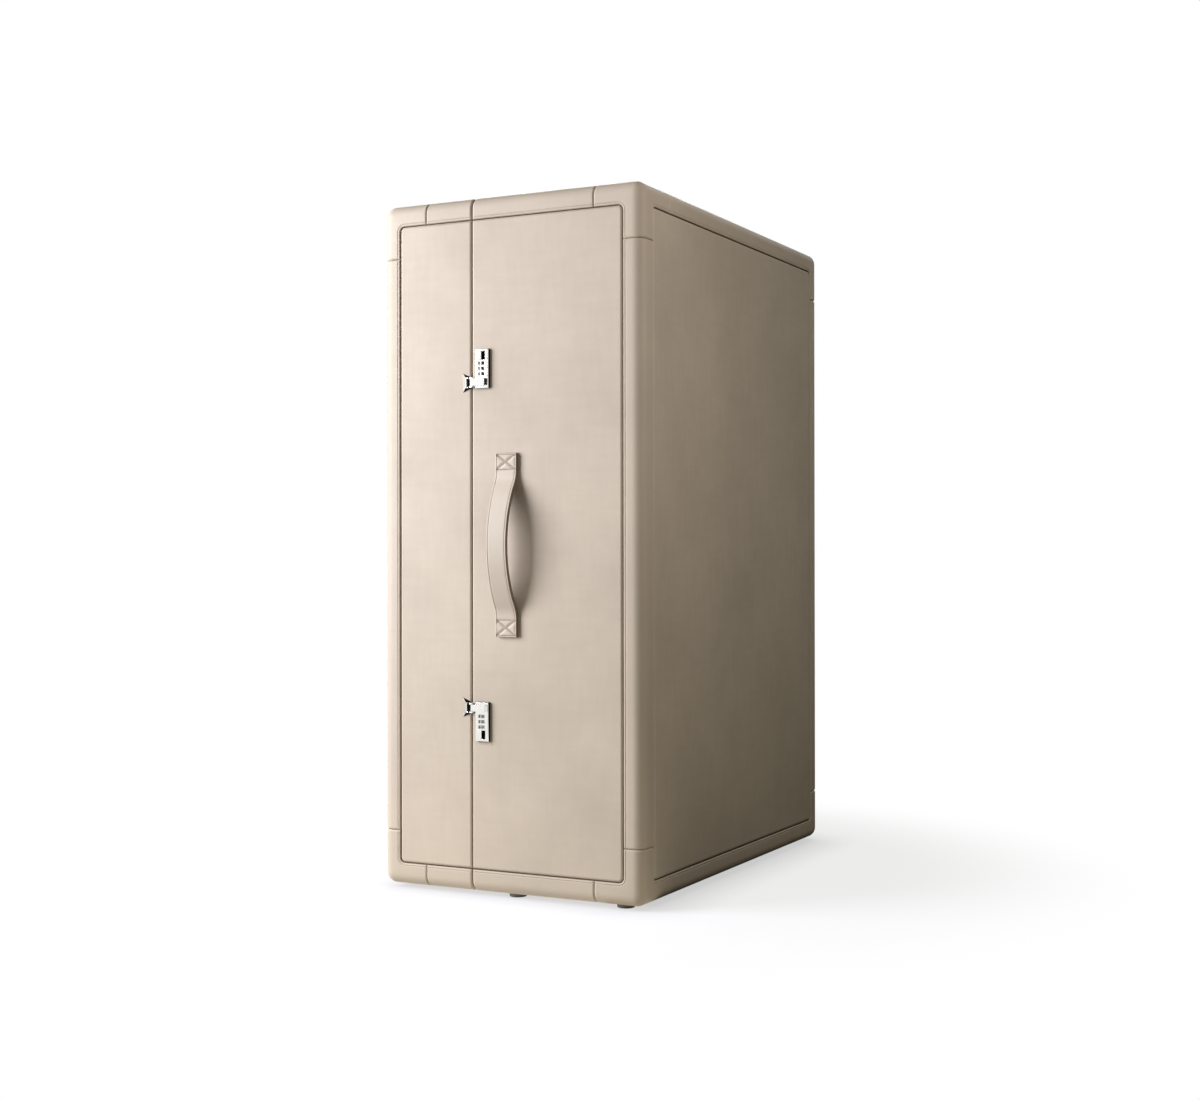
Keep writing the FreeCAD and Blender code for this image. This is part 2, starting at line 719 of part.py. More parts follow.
def hinge_leaf(z, side):
    """One leaf with its knuckles. The body's has the two outer ones, the lid's the middle."""
    third = HINGE_HEIGHT / 3
    near = SEAM + side * SEAM_GAP / 2
    inner = SEAM + side * HINGE_RADIUS
    outer = SEAM + side * HINGE_LEAF
    x0, x1 = min(inner, outer), max(inner, outer)
    leaf = block(x0, x1, BACK, BACK + HINGE_THICK, z - HINGE_HEIGHT / 2, z + HINGE_HEIGHT / 2)
    if side > 0:
        spans = [(z - 1.5 * third, z - 0.5 * third - KNUCKLE_GAP),
                 (z + 0.5 * third + KNUCKLE_GAP, z + 1.5 * third)]
    else:
        spans = [(z - 0.5 * third, z + 0.5 * third)]
    pieces = []
    for z0, z1 in spans:
        pieces.append(post(HINGE_RADIUS, SEAM, HINGE_Y, z0, z1))
        pieces.append(block(min(near, inner), max(near, inner), BACK, BACK + HINGE_THICK, z0, z1))
    bore = post(HINGE_PIN_RADIUS + PIN_CLEARANCE, SEAM, HINGE_Y,
                z - HINGE_HEIGHT / 2, z + HINGE_HEIGHT / 2)
    holes = [rod_y(SCREW_RADIUS, x, BACK, BACK + HINGE_THICK, sz)
             for x, sz in screw_places(z, side)]
    return leaf.fuse(pieces).cut([bore] + holes).removeSplitter()


def hinge_pin(z):
    half = HINGE_HEIGHT / 2
    pin = post(HINGE_PIN_RADIUS, SEAM, HINGE_Y, z - half, z + half)
    heads = [post(HINGE_PIN_HEAD, SEAM, HINGE_Y, z + half, z + half + HINGE_PIN_HEAD_HEIGHT),
             post(HINGE_PIN_HEAD, SEAM, HINGE_Y, z - half - HINGE_PIN_HEAD_HEIGHT, z - half)]
    return pin.fuse(heads).removeSplitter()


def screw(x, z):
    """A pan-headed screw through the leaf and the leather into the board."""
    face = BACK + HINGE_THICK
    shank = rod_y(SCREW_RADIUS, x, face - SCREW_LENGTH, face, z)
    head = rod_y(SCREW_HEAD_RADIUS, x, face, face + SCREW_HEAD_PROUD, z)
    return shank.fuse(head).removeSplitter()


def screw_holes(side):
    """What the screws of one tray's leaves take out of its back wall."""
    face = BACK + HINGE_THICK
    return [rod_y(SCREW_RADIUS, x, face - SCREW_LENGTH, face, sz)
            for z in hinge_heights() for x, sz in screw_places(z, side)]


def hinges():
    for prefix, side in TRAY_SIDE.items():
        save("hinge_leaves_" + prefix, [hinge_leaf(z, side) for z in hinge_heights()])
        save("hinge_screws_" + prefix, [screw(x, sz) for z in hinge_heights()
                                        for x, sz in screw_places(z, side)])
    save("hinge_pins", [hinge_pin(z) for z in hinge_heights()])


# ---------------------------------------------------------------- inside the body

def partition():
    save("partition", [block(FITTED_LEFT, IN_RIGHT, PARTITION_Y, DRAWER_BAY_Y,
                             IN_BOTTOM, IN_TOP)])


def drawer_bounds(k):
    x0 = FITTED_LEFT
    x1 = IN_RIGHT - DRAWER_BACK_CLEARANCE
    y0 = DRAWER_BAY_Y + DRAWER_SIDE_CLEARANCE
    y1 = IN_BACK - DRAWER_SIDE_CLEARANCE
    z0 = IN_BOTTOM + k * DRAWER_PITCH + RUNNER_HEIGHT + RUNNER_CLEARANCE
    return x0, x1, y0, y1, z0


def front_span(k):
    """A drawer front's low and high edges, clear of the tongue and of the next front."""
    low = IN_BOTTOM + k * DRAWER_PITCH + DRAWER_FRONT_LIFT
    return low, low + DRAWER_FRONT_HEIGHT


def runner(k, wall_y, inward):
    """A cleat under one side of a drawer, with the stop that ends its travel."""
    x0, x1, y0, y1, z0 = drawer_bounds(k)
    low = IN_BOTTOM + k * DRAWER_PITCH
    edge = wall_y + inward * RUNNER_WIDTH
    cleat = block(x0 + DRAWER_FRONT_THICK, IN_RIGHT, min(wall_y, edge), max(wall_y, edge),
                  low, low + RUNNER_HEIGHT)
    tail = x1 - DRAWER_SIDE_THICK
    stop_x1 = tail - DRAWER_TRAVEL - STOP_CLEARANCE
    near = wall_y + inward * (DRAWER_SIDE_CLEARANCE + DRAWER_SIDE_THICK + STOP_CLEARANCE)
    stop = block(stop_x1 - STOP_LENGTH, stop_x1, min(near, edge), max(near, edge),
                 low + RUNNER_HEIGHT, low + RUNNER_HEIGHT + STOP_HEIGHT)
    return cleat.fuse(stop).removeSplitter()


def drawer(k):
    """Front, two sides, a back that runs down to the stops, and a raised bottom."""
    x0, x1, y0, y1, z0 = drawer_bounds(k)
    front_back = x0 + DRAWER_FRONT_THICK
    tail = x1 - DRAWER_SIDE_THICK
    high = z0 + DRAWER_SIDE_HEIGHT
    inner_y0, inner_y1 = y0 + DRAWER_SIDE_THICK, y1 - DRAWER_SIDE_THICK
    floor_z = z0 + DRAWER_BOTTOM_LIFT
    return [
        block(x0, front_back, y0, y1, *front_span(k)),
        block(front_back, x1, y0, inner_y0, z0, high),
        block(front_back, x1, inner_y1, y1, z0, high),
        block(tail, x1, inner_y0, inner_y1, z0, high),
        block(front_back, tail, inner_y0, inner_y1, floor_z, floor_z + DRAWER_BOTTOM_THICK),
    ]


def knob(k):
    """A turned knob: neck, head and a domed face."""
    x0, x1, y0, y1, z0 = drawer_bounds(k)
    y = (y0 + y1) / 2
    z = sum(front_span(k)) / 2
    neck_end = x0 - KNOB_NECK
    face = neck_end - KNOB_HEAD
    neck = rod_x(KNOB_NECK_RADIUS, neck_end, x0, y, z)
    head = rod_x(KNOB_RADIUS, face, neck_end, y, z)
    front_rim = [e for e in head.Edges if abs(e.BoundBox.XMax - face) < 1e-6]
    head = head.makeFillet(KNOB_DOME, front_rim)
    return neck.fuse(head).removeSplitter()


def drawers():
    frame = [block(FITTED_LEFT, IN_RIGHT, DRAWER_BAY_Y, IN_BACK,
                   DRAWER_TOP_Z, DRAWER_TOP_Z + PARTITION_THICK)]
    for k in range(DRAWER_COUNT):
        frame.append(runner(k, DRAWER_BAY_Y, 1))
        frame.append(runner(k, IN_BACK, -1))
        save("drawer_%d" % (k + 1), drawer(k))
        save("drawer_%d_knob" % (k + 1), [knob(k)])
    save("drawer_bay_frame", frame)


# ---------------------------------------------------------------- rail and hangers

BAY_Y = (IN_FRONT + PARTITION_Y) / 2
ROD_Z = IN_TOP - RAIL_DROP


def rail_channel():
    """A slotted channel under the top board, with a stop for the rail's rear post."""
    y0, y1 = BAY_Y - CHANNEL_WIDTH / 2, BAY_Y + CHANNEL_WIDTH / 2
    z0 = IN_TOP - CHANNEL_HEIGHT
    channel = block(FITTED_LEFT, IN_RIGHT, y0, y1, z0, IN_TOP)
    hollow = block(FITTED_LEFT, IN_RIGHT, y0 + CHANNEL_WALL, y1 - CHANNEL_WALL,
                   z0 + CHANNEL_WALL, IN_TOP - CHANNEL_WALL)
    slot = block(FITTED_LEFT, IN_RIGHT, BAY_Y - CHANNEL_SLOT / 2, BAY_Y + CHANNEL_SLOT / 2,
                 z0, z0 + CHANNEL_WALL)
    stop_x = IN_RIGHT - SLIDE_CLEARANCE - POST_SIZE - RAIL_TRAVEL - STOP_CLEARANCE
    stop = block(stop_x - STOP_LENGTH, stop_x, BAY_Y - CHANNEL_SLOT / 2,
                 BAY_Y + CHANNEL_SLOT / 2, z0, z0 + CHANNEL_WALL)
    save("rail_channel", [channel.cut([hollow, slot]).fuse(stop).removeSplitter()])


def pull_out_rail():
    """A bar that slides in the channel, two posts and the hanging rod."""
    x0, x1 = FITTED_LEFT, IN_RIGHT - SLIDE_CLEARANCE
    half = CHANNEL_WIDTH / 2 - CHANNEL_WALL - SLIDE_CLEARANCE
    z1 = IN_TOP - CHANNEL_WALL - SLIDE_CLEARANCE
    z0 = IN_TOP - CHANNEL_HEIGHT + CHANNEL_WALL + SLIDE_CLEARANCE
    solids = [block(x0, x1, BAY_Y - half, BAY_Y + half, z0, z1)]
    low = ROD_Z - ROD_RADIUS
    for x in (x0, x1 - POST_SIZE):
        solids.append(block(x, x + POST_SIZE, BAY_Y - POST_SIZE / 2, BAY_Y + POST_SIZE / 2,
                            low, z0))
    solids.append(rod_x(ROD_RADIUS, x0 + POST_SIZE, x1 - POST_SIZE, BAY_Y, ROD_Z))
    save("pull_out_rail", solids)


def hanger_hook(x):
    radius = ROD_RADIUS + HOOK_CLEARANCE + HOOK_WIRE
    low = Vector(x, BAY_Y, ROD_Z - radius)
    ring = Part.Face(Part.Wire(Part.Circle(low, Vector(0, 1, 0), HOOK_WIRE).toShape()))
    bend = ring.revolve(Vector(x, BAY_Y, ROD_Z), Vector(1, 0, 0), HOOK_TURN)
    stem = post(HOOK_WIRE, x, BAY_Y, low.z - HOOK_STEM, low.z)
    elbow = Part.makeSphere(HOOK_WIRE, low)
    return stem.fuse([elbow, bend]).removeSplitter()


def hanger_shoulder(x):
    """A bent wooden shoulder: two arcs closed by short straight tips."""
    top = ROD_Z - ROD_RADIUS - HOOK_CLEARANCE - 2 * HOOK_WIRE - HOOK_STEM + HOOK_WIRE
    half = HANGER_SPAN / 2
    x0 = x - HANGER_THICK / 2

    def at(y, drop):
        return Vector(x0, BAY_Y + y, top - drop)

    over = Part.Arc(at(-half, HANGER_FALL), at(0, 0), at(half, HANGER_FALL)).toShape()
    under = Part.Arc(at(half, HANGER_FALL + HANGER_TIP), at(0, HANGER_DEEP),
                     at(-half, HANGER_FALL + HANGER_TIP)).toShape()
    tips = [Part.LineSegment(at(side * half, HANGER_FALL),
                             at(side * half, HANGER_FALL + HANGER_TIP)).toShape()
            for side in (-1, 1)]
    outline = Part.Wire(Part.__sortEdges__([over, under] + tips))
    return Part.Face(outline).extrude(Vector(HANGER_THICK, 0, 0))


def hangers():
    middle = (FITTED_LEFT + IN_RIGHT) / 2
    for k in range(HANGER_COUNT):
        x = middle + (k - (HANGER_COUNT - 1) / 2) * HANGER_PITCH
        save("hanger_%d" % (k + 1), [hanger_hook(x), hanger_shoulder(x)])


# ---------------------------------------------------------------- inside the lid

def lid_fittings():
    """Shoe shelves with guard rods on the hanging side, and a mirror on the other."""
    edge = LID_EDGE - SHELF_SETBACK
    shelves = []
    guards = []
    for k in range(SHELF_COUNT):
        under = IN_BOTTOM + (k + 1) * SHELF_PITCH
        shelves.append(block(IN_LEFT, edge, IN_FRONT, PARTITION_Y, under, under + SHELF_THICK))
        floor_z = IN_BOTTOM if k == 0 else IN_BOTTOM + k * SHELF_PITCH + SHELF_THICK
        guards.append(rod_y(GUARD_RADIUS, edge - 2 * GUARD_RADIUS, IN_FRONT, PARTITION_Y,
                            floor_z + GUARD_LIFT))
    top = IN_BOTTOM + SHELF_COUNT * SHELF_PITCH + SHELF_THICK
    divider = block(IN_LEFT, edge, PARTITION_Y, DRAWER_BAY_Y, IN_BOTTOM, top)
    save("shoe_rack", shelves + [divider])
    save("shoe_guard_rods", guards)
    save("lid_mirror", [block(IN_LEFT, IN_LEFT + MIRROR_THICK, DRAWER_BAY_Y + MIRROR_MARGIN,
                              IN_BACK - MIRROR_MARGIN, IN_BOTTOM + MIRROR_LOW,
                              IN_BOTTOM + MIRROR_LOW + MIRROR_HEIGHT)])


# ---------------------------------------------------------------- build

def main():
    os.makedirs("parts", exist_ok=True)
    carcass("lid", LEFT + WALL, LID_EDGE - RIM_DEPTH, LEFT, LEFT + WALL,
            LID_EDGE - RIM_DEPTH, LID_EDGE)
    carcass("body", BODY_EDGE + RIM_DEPTH, RIGHT - WALL, RIGHT - WALL, RIGHT,
            BODY_EDGE, BODY_EDGE + RIM_DEPTH)
    lid_lining_edge = LID_EDGE - TONGUE_REACH - LINING_CLEARANCE
    linings("lid", IN_LEFT - LINING, lid_lining_edge, IN_LEFT - LINING, IN_LEFT)
    linings("body", BODY_EDGE + TONGUE_ROOT, IN_RIGHT + LINING, IN_RIGHT, IN_RIGHT + LINING)
    closing_tongue()
    leather_panels()
    leather_bindings()
    feet()
    handle()
    locks()
    hinges()
    partition()
    drawers()
    rail_channel()
    pull_out_rail()
    hangers()
    lid_fittings()


main()
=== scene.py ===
# %% [markdown]
# # A leather wardrobe trunk, step by step
# The trunk stands on end. A shallow lid tray turns on a deep body tray, and both
# are covered in one smooth leather. The joints and boards come ready made from a
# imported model, and this lesson dresses them: it builds the leather, the stitching,
# the strap, the polished locks and the fitted inside, and gives each its finish.

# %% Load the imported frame
import json
import math

import bmesh
import bpy
from mathutils import Matrix, Vector

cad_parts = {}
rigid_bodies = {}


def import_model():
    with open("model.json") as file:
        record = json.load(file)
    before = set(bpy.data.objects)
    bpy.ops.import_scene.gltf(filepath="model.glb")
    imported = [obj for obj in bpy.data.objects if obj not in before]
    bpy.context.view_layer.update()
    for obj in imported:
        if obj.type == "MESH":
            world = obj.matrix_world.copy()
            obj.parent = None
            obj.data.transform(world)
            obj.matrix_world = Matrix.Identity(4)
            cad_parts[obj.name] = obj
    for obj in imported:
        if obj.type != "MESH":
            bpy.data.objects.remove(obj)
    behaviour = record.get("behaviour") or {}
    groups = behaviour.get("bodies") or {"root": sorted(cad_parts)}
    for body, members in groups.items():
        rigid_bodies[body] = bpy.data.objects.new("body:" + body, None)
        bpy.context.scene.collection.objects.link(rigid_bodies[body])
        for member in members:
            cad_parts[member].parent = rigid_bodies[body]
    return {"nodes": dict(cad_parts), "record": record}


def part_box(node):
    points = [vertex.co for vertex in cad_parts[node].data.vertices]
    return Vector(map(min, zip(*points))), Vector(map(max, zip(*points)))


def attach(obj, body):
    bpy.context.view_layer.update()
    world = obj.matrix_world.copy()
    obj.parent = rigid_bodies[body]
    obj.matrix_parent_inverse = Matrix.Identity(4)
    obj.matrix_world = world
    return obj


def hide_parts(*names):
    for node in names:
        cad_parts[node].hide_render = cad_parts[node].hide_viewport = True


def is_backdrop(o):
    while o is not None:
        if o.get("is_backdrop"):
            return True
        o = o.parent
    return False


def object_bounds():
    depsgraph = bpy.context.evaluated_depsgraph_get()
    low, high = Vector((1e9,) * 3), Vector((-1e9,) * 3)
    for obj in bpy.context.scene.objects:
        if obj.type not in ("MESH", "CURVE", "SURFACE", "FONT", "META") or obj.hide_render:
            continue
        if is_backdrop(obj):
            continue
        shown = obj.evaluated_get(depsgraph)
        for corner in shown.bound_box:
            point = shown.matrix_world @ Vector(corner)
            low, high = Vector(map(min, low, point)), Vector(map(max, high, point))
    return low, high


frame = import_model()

cad_box = [list(corner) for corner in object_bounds()]
MM = 0.001

# %% [markdown]
# ## Where the leather lies
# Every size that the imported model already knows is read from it, so the pieces can't
# drift away from their bodies. What it doesn't know, such as how a binding's edge is
# rolled, is a named value here. Blender works in metres, so millimetres carry MM.

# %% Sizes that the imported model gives
LEFT, FRONT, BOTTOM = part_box("lid_corner_caps")[0]
RIGHT, BACK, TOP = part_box("body_corner_caps")[1]
LID_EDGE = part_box("lid_leather_panels")[1].x
BODY_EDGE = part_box("body_leather_panels")[0].x
LOW = (LEFT, FRONT, BOTTOM)
HIGH = (RIGHT, BACK, TOP)
TRAYS = (("lid", "lid", -1), ("body", "trunk_body", 1))      # tray, body, way its side faces
print("trunk, mm:", [round((b - a) / MM, 1) for a, b in zip(LOW, HIGH)])

# %% Sizes of the leather work
THICK = 3 * MM                                # leather
ROUND = 20 * MM                               # the trunk's rounded edges
MARGIN = (37.5 * MM, 43.7 * MM, 40.3 * MM)    # from a face's edge to its panel
CAP = (91 * MM, 106 * MM, 96 * MM)            # how far a corner cap reaches
GROOVE = 1.8 * MM                             # between panel and binding
PANEL_CORNER = 8 * MM
BUTT = 0.4 * MM                               # half the gap where two pieces meet
ROLL_PANEL = (2.8 * MM, 3.8 * MM)             # how deep, and how far in it starts
ROLL_BEAD = (1.4 * MM, 1.5 * MM)
ROLL_BUTT = (1.9 * MM, 2.4 * MM)
SEAM_CORNER = 1.5 * MM                        # a panel's corner at the seam
CREASE_AT, CREASE_DEEP, CREASE_HALF = 4.0 * MM, 0.8 * MM, 1.1 * MM
ARC = 8                                       # pieces in a quarter turn
QUARTER = [math.pi / 2 * k / ARC for k in range(ARC + 1)]

# %% [markdown]
# ## Finishes
# A material here is a small tree of nodes: noise at several scales for the colour, and
# finer noise for the bump and the gloss. Pictures of leather or wood would need a
# layout for every piece and would repeat. Noise in object coordinates needs none, and
# keeps its scale true in metres. Small helpers make the tree's usual parts, so that each
# finish below is a few readable lines. A number that is the same all over is set on the
# shader's own socket.

# %% Helpers for a material and its nodes
def start_material(name, **settings):
    """A new material, its tree, and a shader with its plain numbers set."""
    material = bpy.data.materials.new(name)
    material.use_nodes = True
    tree = material.node_tree
    shader = tree.nodes["Principled BSDF"]
    for socket, value in settings.items():
        shader.inputs[socket.replace("_", " ")].default_value = value
    return material, tree, shader


def node(tree, kind, links=None, **settings):
    made = tree.nodes.new(kind)
    for key, value in settings.items():
        setattr(made, key, value)
    for socket, value in (links or {}).items():
        if isinstance(value, bpy.types.NodeSocket):
            tree.links.new(value, made.inputs[socket])
        else:
            made.inputs[socket].default_value = value
    return made


def place_in_metres(tree, scale=(1, 1, 1), turn=(0, 0, 0)):
    where = node(tree, "ShaderNodeTexCoord").outputs["Object"]
    return node(tree, "ShaderNodeMapping", {"Vector": where, "Scale": scale,
                                            "Rotation": turn}).outputs[0]


# %% Helpers for noise, colour and bump
def noise(tree, where, scale, detail=3.0, rough=0.5):
    return node(tree, "ShaderNodeTexNoise", {"Vector": where, "Scale": scale,
                                             "Detail": detail, "Roughness": rough}).outputs[0]


def spread(tree, value, low, high, to_low=0.0, to_high=1.0):
    """Takes the part of a value from low to high to a new range."""
    return node(tree, "ShaderNodeMapRange", {"Value": value, "From Min": low, "From Max": high,
                                             "To Min": to_low, "To Max": to_high}).outputs[0]


def blend_colour(tree, share, first, second, how="MIX"):
    mix = node(tree, "ShaderNodeMix", data_type="RGBA", blend_type=how)
    for index, value in ((0, share), (6, first), (7, second)):
        if isinstance(value, bpy.types.NodeSocket):
            tree.links.new(value, mix.inputs[index])
        else:
            mix.inputs[index].default_value = value
    return mix.outputs[2]


def math_node(tree, how, first, second):
    return node(tree, "ShaderNodeMath", {0: first, 1: second}, operation=how).outputs[0]


def bump(tree, height, distance, strength=1.0, before=None):
    links = {"Height": height, "Distance": distance, "Strength": strength}
    if before:
        links["Normal"] = before
    return node(tree, "ShaderNodeBump", links).outputs[0]


def colour(red, green, blue):
    """A colour as a paint chip gives it, 0 to 255, turned into linear light."""
    def linear(value):
        share = value / 255
        return share / 12.92 if share <= 0.04045 else ((share + 0.055) / 1.055) ** 2.4
    return (linear(red), linear(green), linear(blue), 1.0)


# %% [markdown]
# ### Leather
# The real hide is dyed a warm grey-beige and finished smooth. Close up it has a fine
# pebble, further off a soft cloudiness, and a faint crosswise mottle left by the
# plating press. Where an edge is rolled or creased, and lies in shade, the colour is
# darkened as painted shade. That could be painted on by hand, but the mesh already knows
# how deep each point lies, so it carries a value from 0 on the flat to 1 down in a
# groove, and the finish darkens by it.

# %% Leather finishes
def leather(name, tone, mottle=0.5, grain=0.00012, gloss=0.47):
    material, tree, shader = start_material(name, Specular_IOR_Level=0.32)
    where = place_in_metres(tree)
    clouds = noise(tree, where, 5.0, 4.0, 0.55)
    upright = noise(tree, place_in_metres(tree, (1, 1, 0.16)), 95.0, 2.0)
    level = noise(tree, place_in_metres(tree, (0.16, 0.16, 1)), 95.0, 2.0)
    weave = math_node(tree, "MULTIPLY", math_node(tree, "ADD", upright, level), 0.5)
    light = blend_colour(tree, 0.5, tone, (1, 0.985, 0.96, 1), "MULTIPLY")
    deep = blend_colour(tree, mottle * 0.22, tone, colour(120, 98, 74), "MULTIPLY")
    base = blend_colour(tree, spread(tree, clouds, 0.36, 0.64), light, deep)
    streaked = blend_colour(tree, spread(tree, weave, 0.38, 0.62, 0.0, mottle * 0.1),
                            base, colour(150, 126, 100))
    # Painted shade: darker where the mesh says a point lies down a groove or crease; on the
    # strap the same value also carries its edge ink
    shade_and_ink_share = node(tree, "ShaderNodeAttribute", attribute_name="painted_shade_and_ink").outputs["Fac"]
    inked_and_shaded = blend_colour(tree, spread(tree, shade_and_ink_share, 0.0, 1.0, 0.0, 0.9), streaked,
                        colour(86, 65, 46))
    tree.links.new(inked_and_shaded, shader.inputs["Base Color"])
    pebble = node(tree, "ShaderNodeTexVoronoi", {"Vector": where, "Scale": 900.0,
                                                 "Randomness": 1.0}).outputs["Distance"]
    fine = noise(tree, where, 420.0, 3.0)
    height = math_node(tree, "ADD", pebble, fine)
    shape = bump(tree, clouds, 0.0012, 0.5)
    tree.links.new(bump(tree, height, grain, 0.6, shape), shader.inputs["Normal"])
    rough = math_node(tree, "ADD", spread(tree, weave, 0.3, 0.7, -0.05, 0.05),
                      spread(tree, fine, 0.2, 0.8, gloss - 0.03, gloss + 0.05))
    tree.links.new(rough, shader.inputs["Roughness"])
    return material


GREIGE = colour(214, 201, 187)
panel_leather = leather("panel_leather", GREIGE, mottle=0.6)
binding_leather = leather("binding_leather", colour(211, 198, 184), mottle=0.35, gloss=0.44)
strap_leather = leather("strap_leather", colour(216, 204, 192), mottle=0.3, gloss=0.42)
print("leathers:", panel_leather.name, binding_leather.name, strap_leather.name)


# %% [markdown]
# ### Thread, suede and glides
# Waxed thread is a tight twist, so fine noise makes its bump, and it gets painted shade
# where it dives into a needle hole, by the same value as the leather. Suede is brushed nap.
# Grown hairs would be slow to draw, and from where anyone stands they only soften the
# colour and light up at the rims, which noise and a little sheen do as well. The glides
# are a dull moulding.

# %% Thread, suede and glide finishes
def soft_finish(name, tone, shade, scale, rough, bump_mm, **settings):
    material, tree, shader = start_material(name, Roughness=rough, **settings)
    where = place_in_metres(tree)
    big = noise(tree, where, scale * 0.02, 3.0)
    small = noise(tree, where, scale, 3.0, 0.6)
    mixed = math_node(tree, "ADD", math_node(tree, "MULTIPLY", big, 0.7),
                      math_node(tree, "MULTIPLY", small, 0.3))
    tree.links.new(blend_colour(tree, spread(tree, mixed, 0.35, 0.65), tone, shade),
                   shader.inputs["Base Color"])
    tree.links.new(bump(tree, small, bump_mm * MM, 0.7), shader.inputs["Normal"])
    return material


thread = soft_finish("waxed_thread", colour(226, 213, 195), colour(204, 188, 166),
                     900.0, 0.55, 0.1)
shader = thread.node_tree.nodes["Principled BSDF"]
twist = shader.inputs["Base Color"].links[0].from_socket
# Painted shade on the thread where it dives into a needle hole
in_the_hole = node(thread.node_tree, "ShaderNodeAttribute", attribute_name="painted_shade_and_ink")
thread.node_tree.links.new(blend_colour(thread.node_tree, in_the_hole.outputs["Fac"], twist,
                                        colour(60, 46, 34)), shader.inputs["Base Color"])
suede = soft_finish("suede_lining", colour(191, 176, 158), colour(178, 161, 142),
                    700.0, 0.9, 0.25, Sheen_Weight=0.35)
glide = soft_finish("glide_nylon", colour(128, 127, 124), colour(104, 103, 100),
                    500.0, 0.6, 0.1)
print("soft finishes:", thread.name, suede.name, glide.name)


# %% [markdown]
# ### Wood
# Grain could be cut from rings round a pith, as in a log, but on thin boards sawn along
# the trunk it is enough to draw noise out along the board: long, slow bands for the
# growth rings, and short dark dashes for the pores. The same recipe makes walnut for the
# fittings, pale hardwood for the rims and a dark ply for the boards. The ply is made dark
# as painted shade, since it shows only down the grooves between the leather. The axis is
# the way the grain runs.

# %% Wood finishes
def wood(name, tone, shade, along, rough=0.42, pores=0.5, bands=28.0):
    material, tree, shader = start_material(name, Roughness=rough)
    stretch = [1.0, 1.0, 1.0]
    stretch[along] = 0.045
    where = place_in_metres(tree, stretch)
    rings = noise(tree, where, bands, 4.0, 0.62)
    fine = noise(tree, where, bands * 14, 2.0)
    base = blend_colour(tree, spread(tree, rings, 0.34, 0.66), tone, shade)
    dashes = spread(tree, fine, 0.56, 0.72, 0.0, pores)
    tree.links.new(blend_colour(tree, dashes, base, [c * 0.35 for c in shade[:3]] + [1]),
                   shader.inputs["Base Color"])
    height = math_node(tree, "SUBTRACT", rings, dashes)
    tree.links.new(bump(tree, height, 0.12 * MM, 0.5), shader.inputs["Normal"])
    tree.links.new(spread(tree, fine, 0.3, 0.7, rough - 0.06, rough + 0.1),
                   shader.inputs["Roughness"])
    return material


WALNUT = (colour(126, 88, 58), colour(78, 50, 32))
walnut = [wood("walnut_along_" + "xyz"[axis], *WALNUT, axis) for axis in range(3)]
hardwood = [wood("hardwood_along_" + "xyz"[axis], colour(196, 160, 118), colour(160, 122, 84),
                 axis, 0.5, 0.3) for axis in range(3)]
# Painted shade: the boards show only down the grooves, so they are this dark
groove_shade_ply = wood("groove_shade_ply", colour(84, 66, 50), colour(62, 48, 36), 2, 0.6, 0.2)
print("woods:", len(walnut) + len(hardwood) + 1)


# %% [markdown]
# ### Metal, ink and glass
# Polished nickel is a warm mirror. What tells it from plastic is the room it reflects
# and the faint hairlines from the buffing wheel, so the gloss and a very low bump vary
# along one direction. A plain shader with one gloss would look moulded. Where shade falls,
# in deep slots and on faces turned from the key lamp, the same finish is made near black
# as painted shade. The glass in the lid is the same recipe again with hardly any haze,
# under a clear coat. The ink on the dials is a flat black.

# %% Metal, ink and glass finishes
def metal(name, tone, rough, hairline=0.03, tarnish=0.07, **settings):
    material, tree, shader = start_material(name, Metallic=1.0, **settings)
    lines = noise(tree, place_in_metres(tree, (1, 1, 0.05)), 1600.0, 2.0)
    smears = noise(tree, place_in_metres(tree), 45.0, 3.0)
    tree.links.new(math_node(tree, "ADD", spread(tree, lines, 0.3, 0.7, rough, rough + hairline),
                             spread(tree, smears, 0.4, 0.7, 0.0, 0.7 * tarnish)),
                   shader.inputs["Roughness"])
    tree.links.new(blend_colour(tree, spread(tree, smears, 0.4, 0.7), tone,
                                [c * (1 - tarnish) for c in tone[:3]] + [1]),
                   shader.inputs["Base Color"])
    tree.links.new(bump(tree, lines, 0.004 * MM, 0.4), shader.inputs["Normal"])
    return material


nickel = metal("polished_nickel", colour(240, 238, 233), 0.07)
dull_nickel = metal("satin_nickel", colour(206, 203, 197), 0.24, 0.08)
# Painted shade: near-black nickel for slots, notches and shaded sides
painted_shade_metal = metal("metal_painted_black_for_shade", colour(22, 21, 20), 0.4, 0.1)
drum = metal("dial_drum", colour(236, 234, 229), 0.12, 0.04)
ink = soft_finish("dial_ink", colour(30, 30, 30), colour(44, 43, 42), 800.0, 0.5, 0.02)
silvered_glass = metal("silvered_glass", colour(236, 240, 240), 0.015, 0.01, 0.015,
                       Coat_Weight=0.6, Coat_Roughness=0.02)
print("metals:", nickel.name, dull_nickel.name, painted_shade_metal.name)

# %% [markdown]
# ## How a piece of leather is made
# Covering leather is a skin 3 mm thick with its edges turned in. A plain block with a
# groove painted on would look flat, so the visible side is laid out as a grid with
# lines close together wherever the surface bends: at a rolled edge, and at the crease
# that carries the stitching. Each grid point knows the trunk's surface under it, which
# way is outwards, and how deep it dips. The helper pushes the points in by that depth,
# adds the hidden underside and closes the border, so every piece is a solid sheet.

# %% Relief of an edge
def rolled(distance, roll):
    """How deep a turned edge lies, this far in from its border."""
    deep, wide = roll
    return deep * (1 - distance / wide) ** 1.5 if distance < wide else 0.0


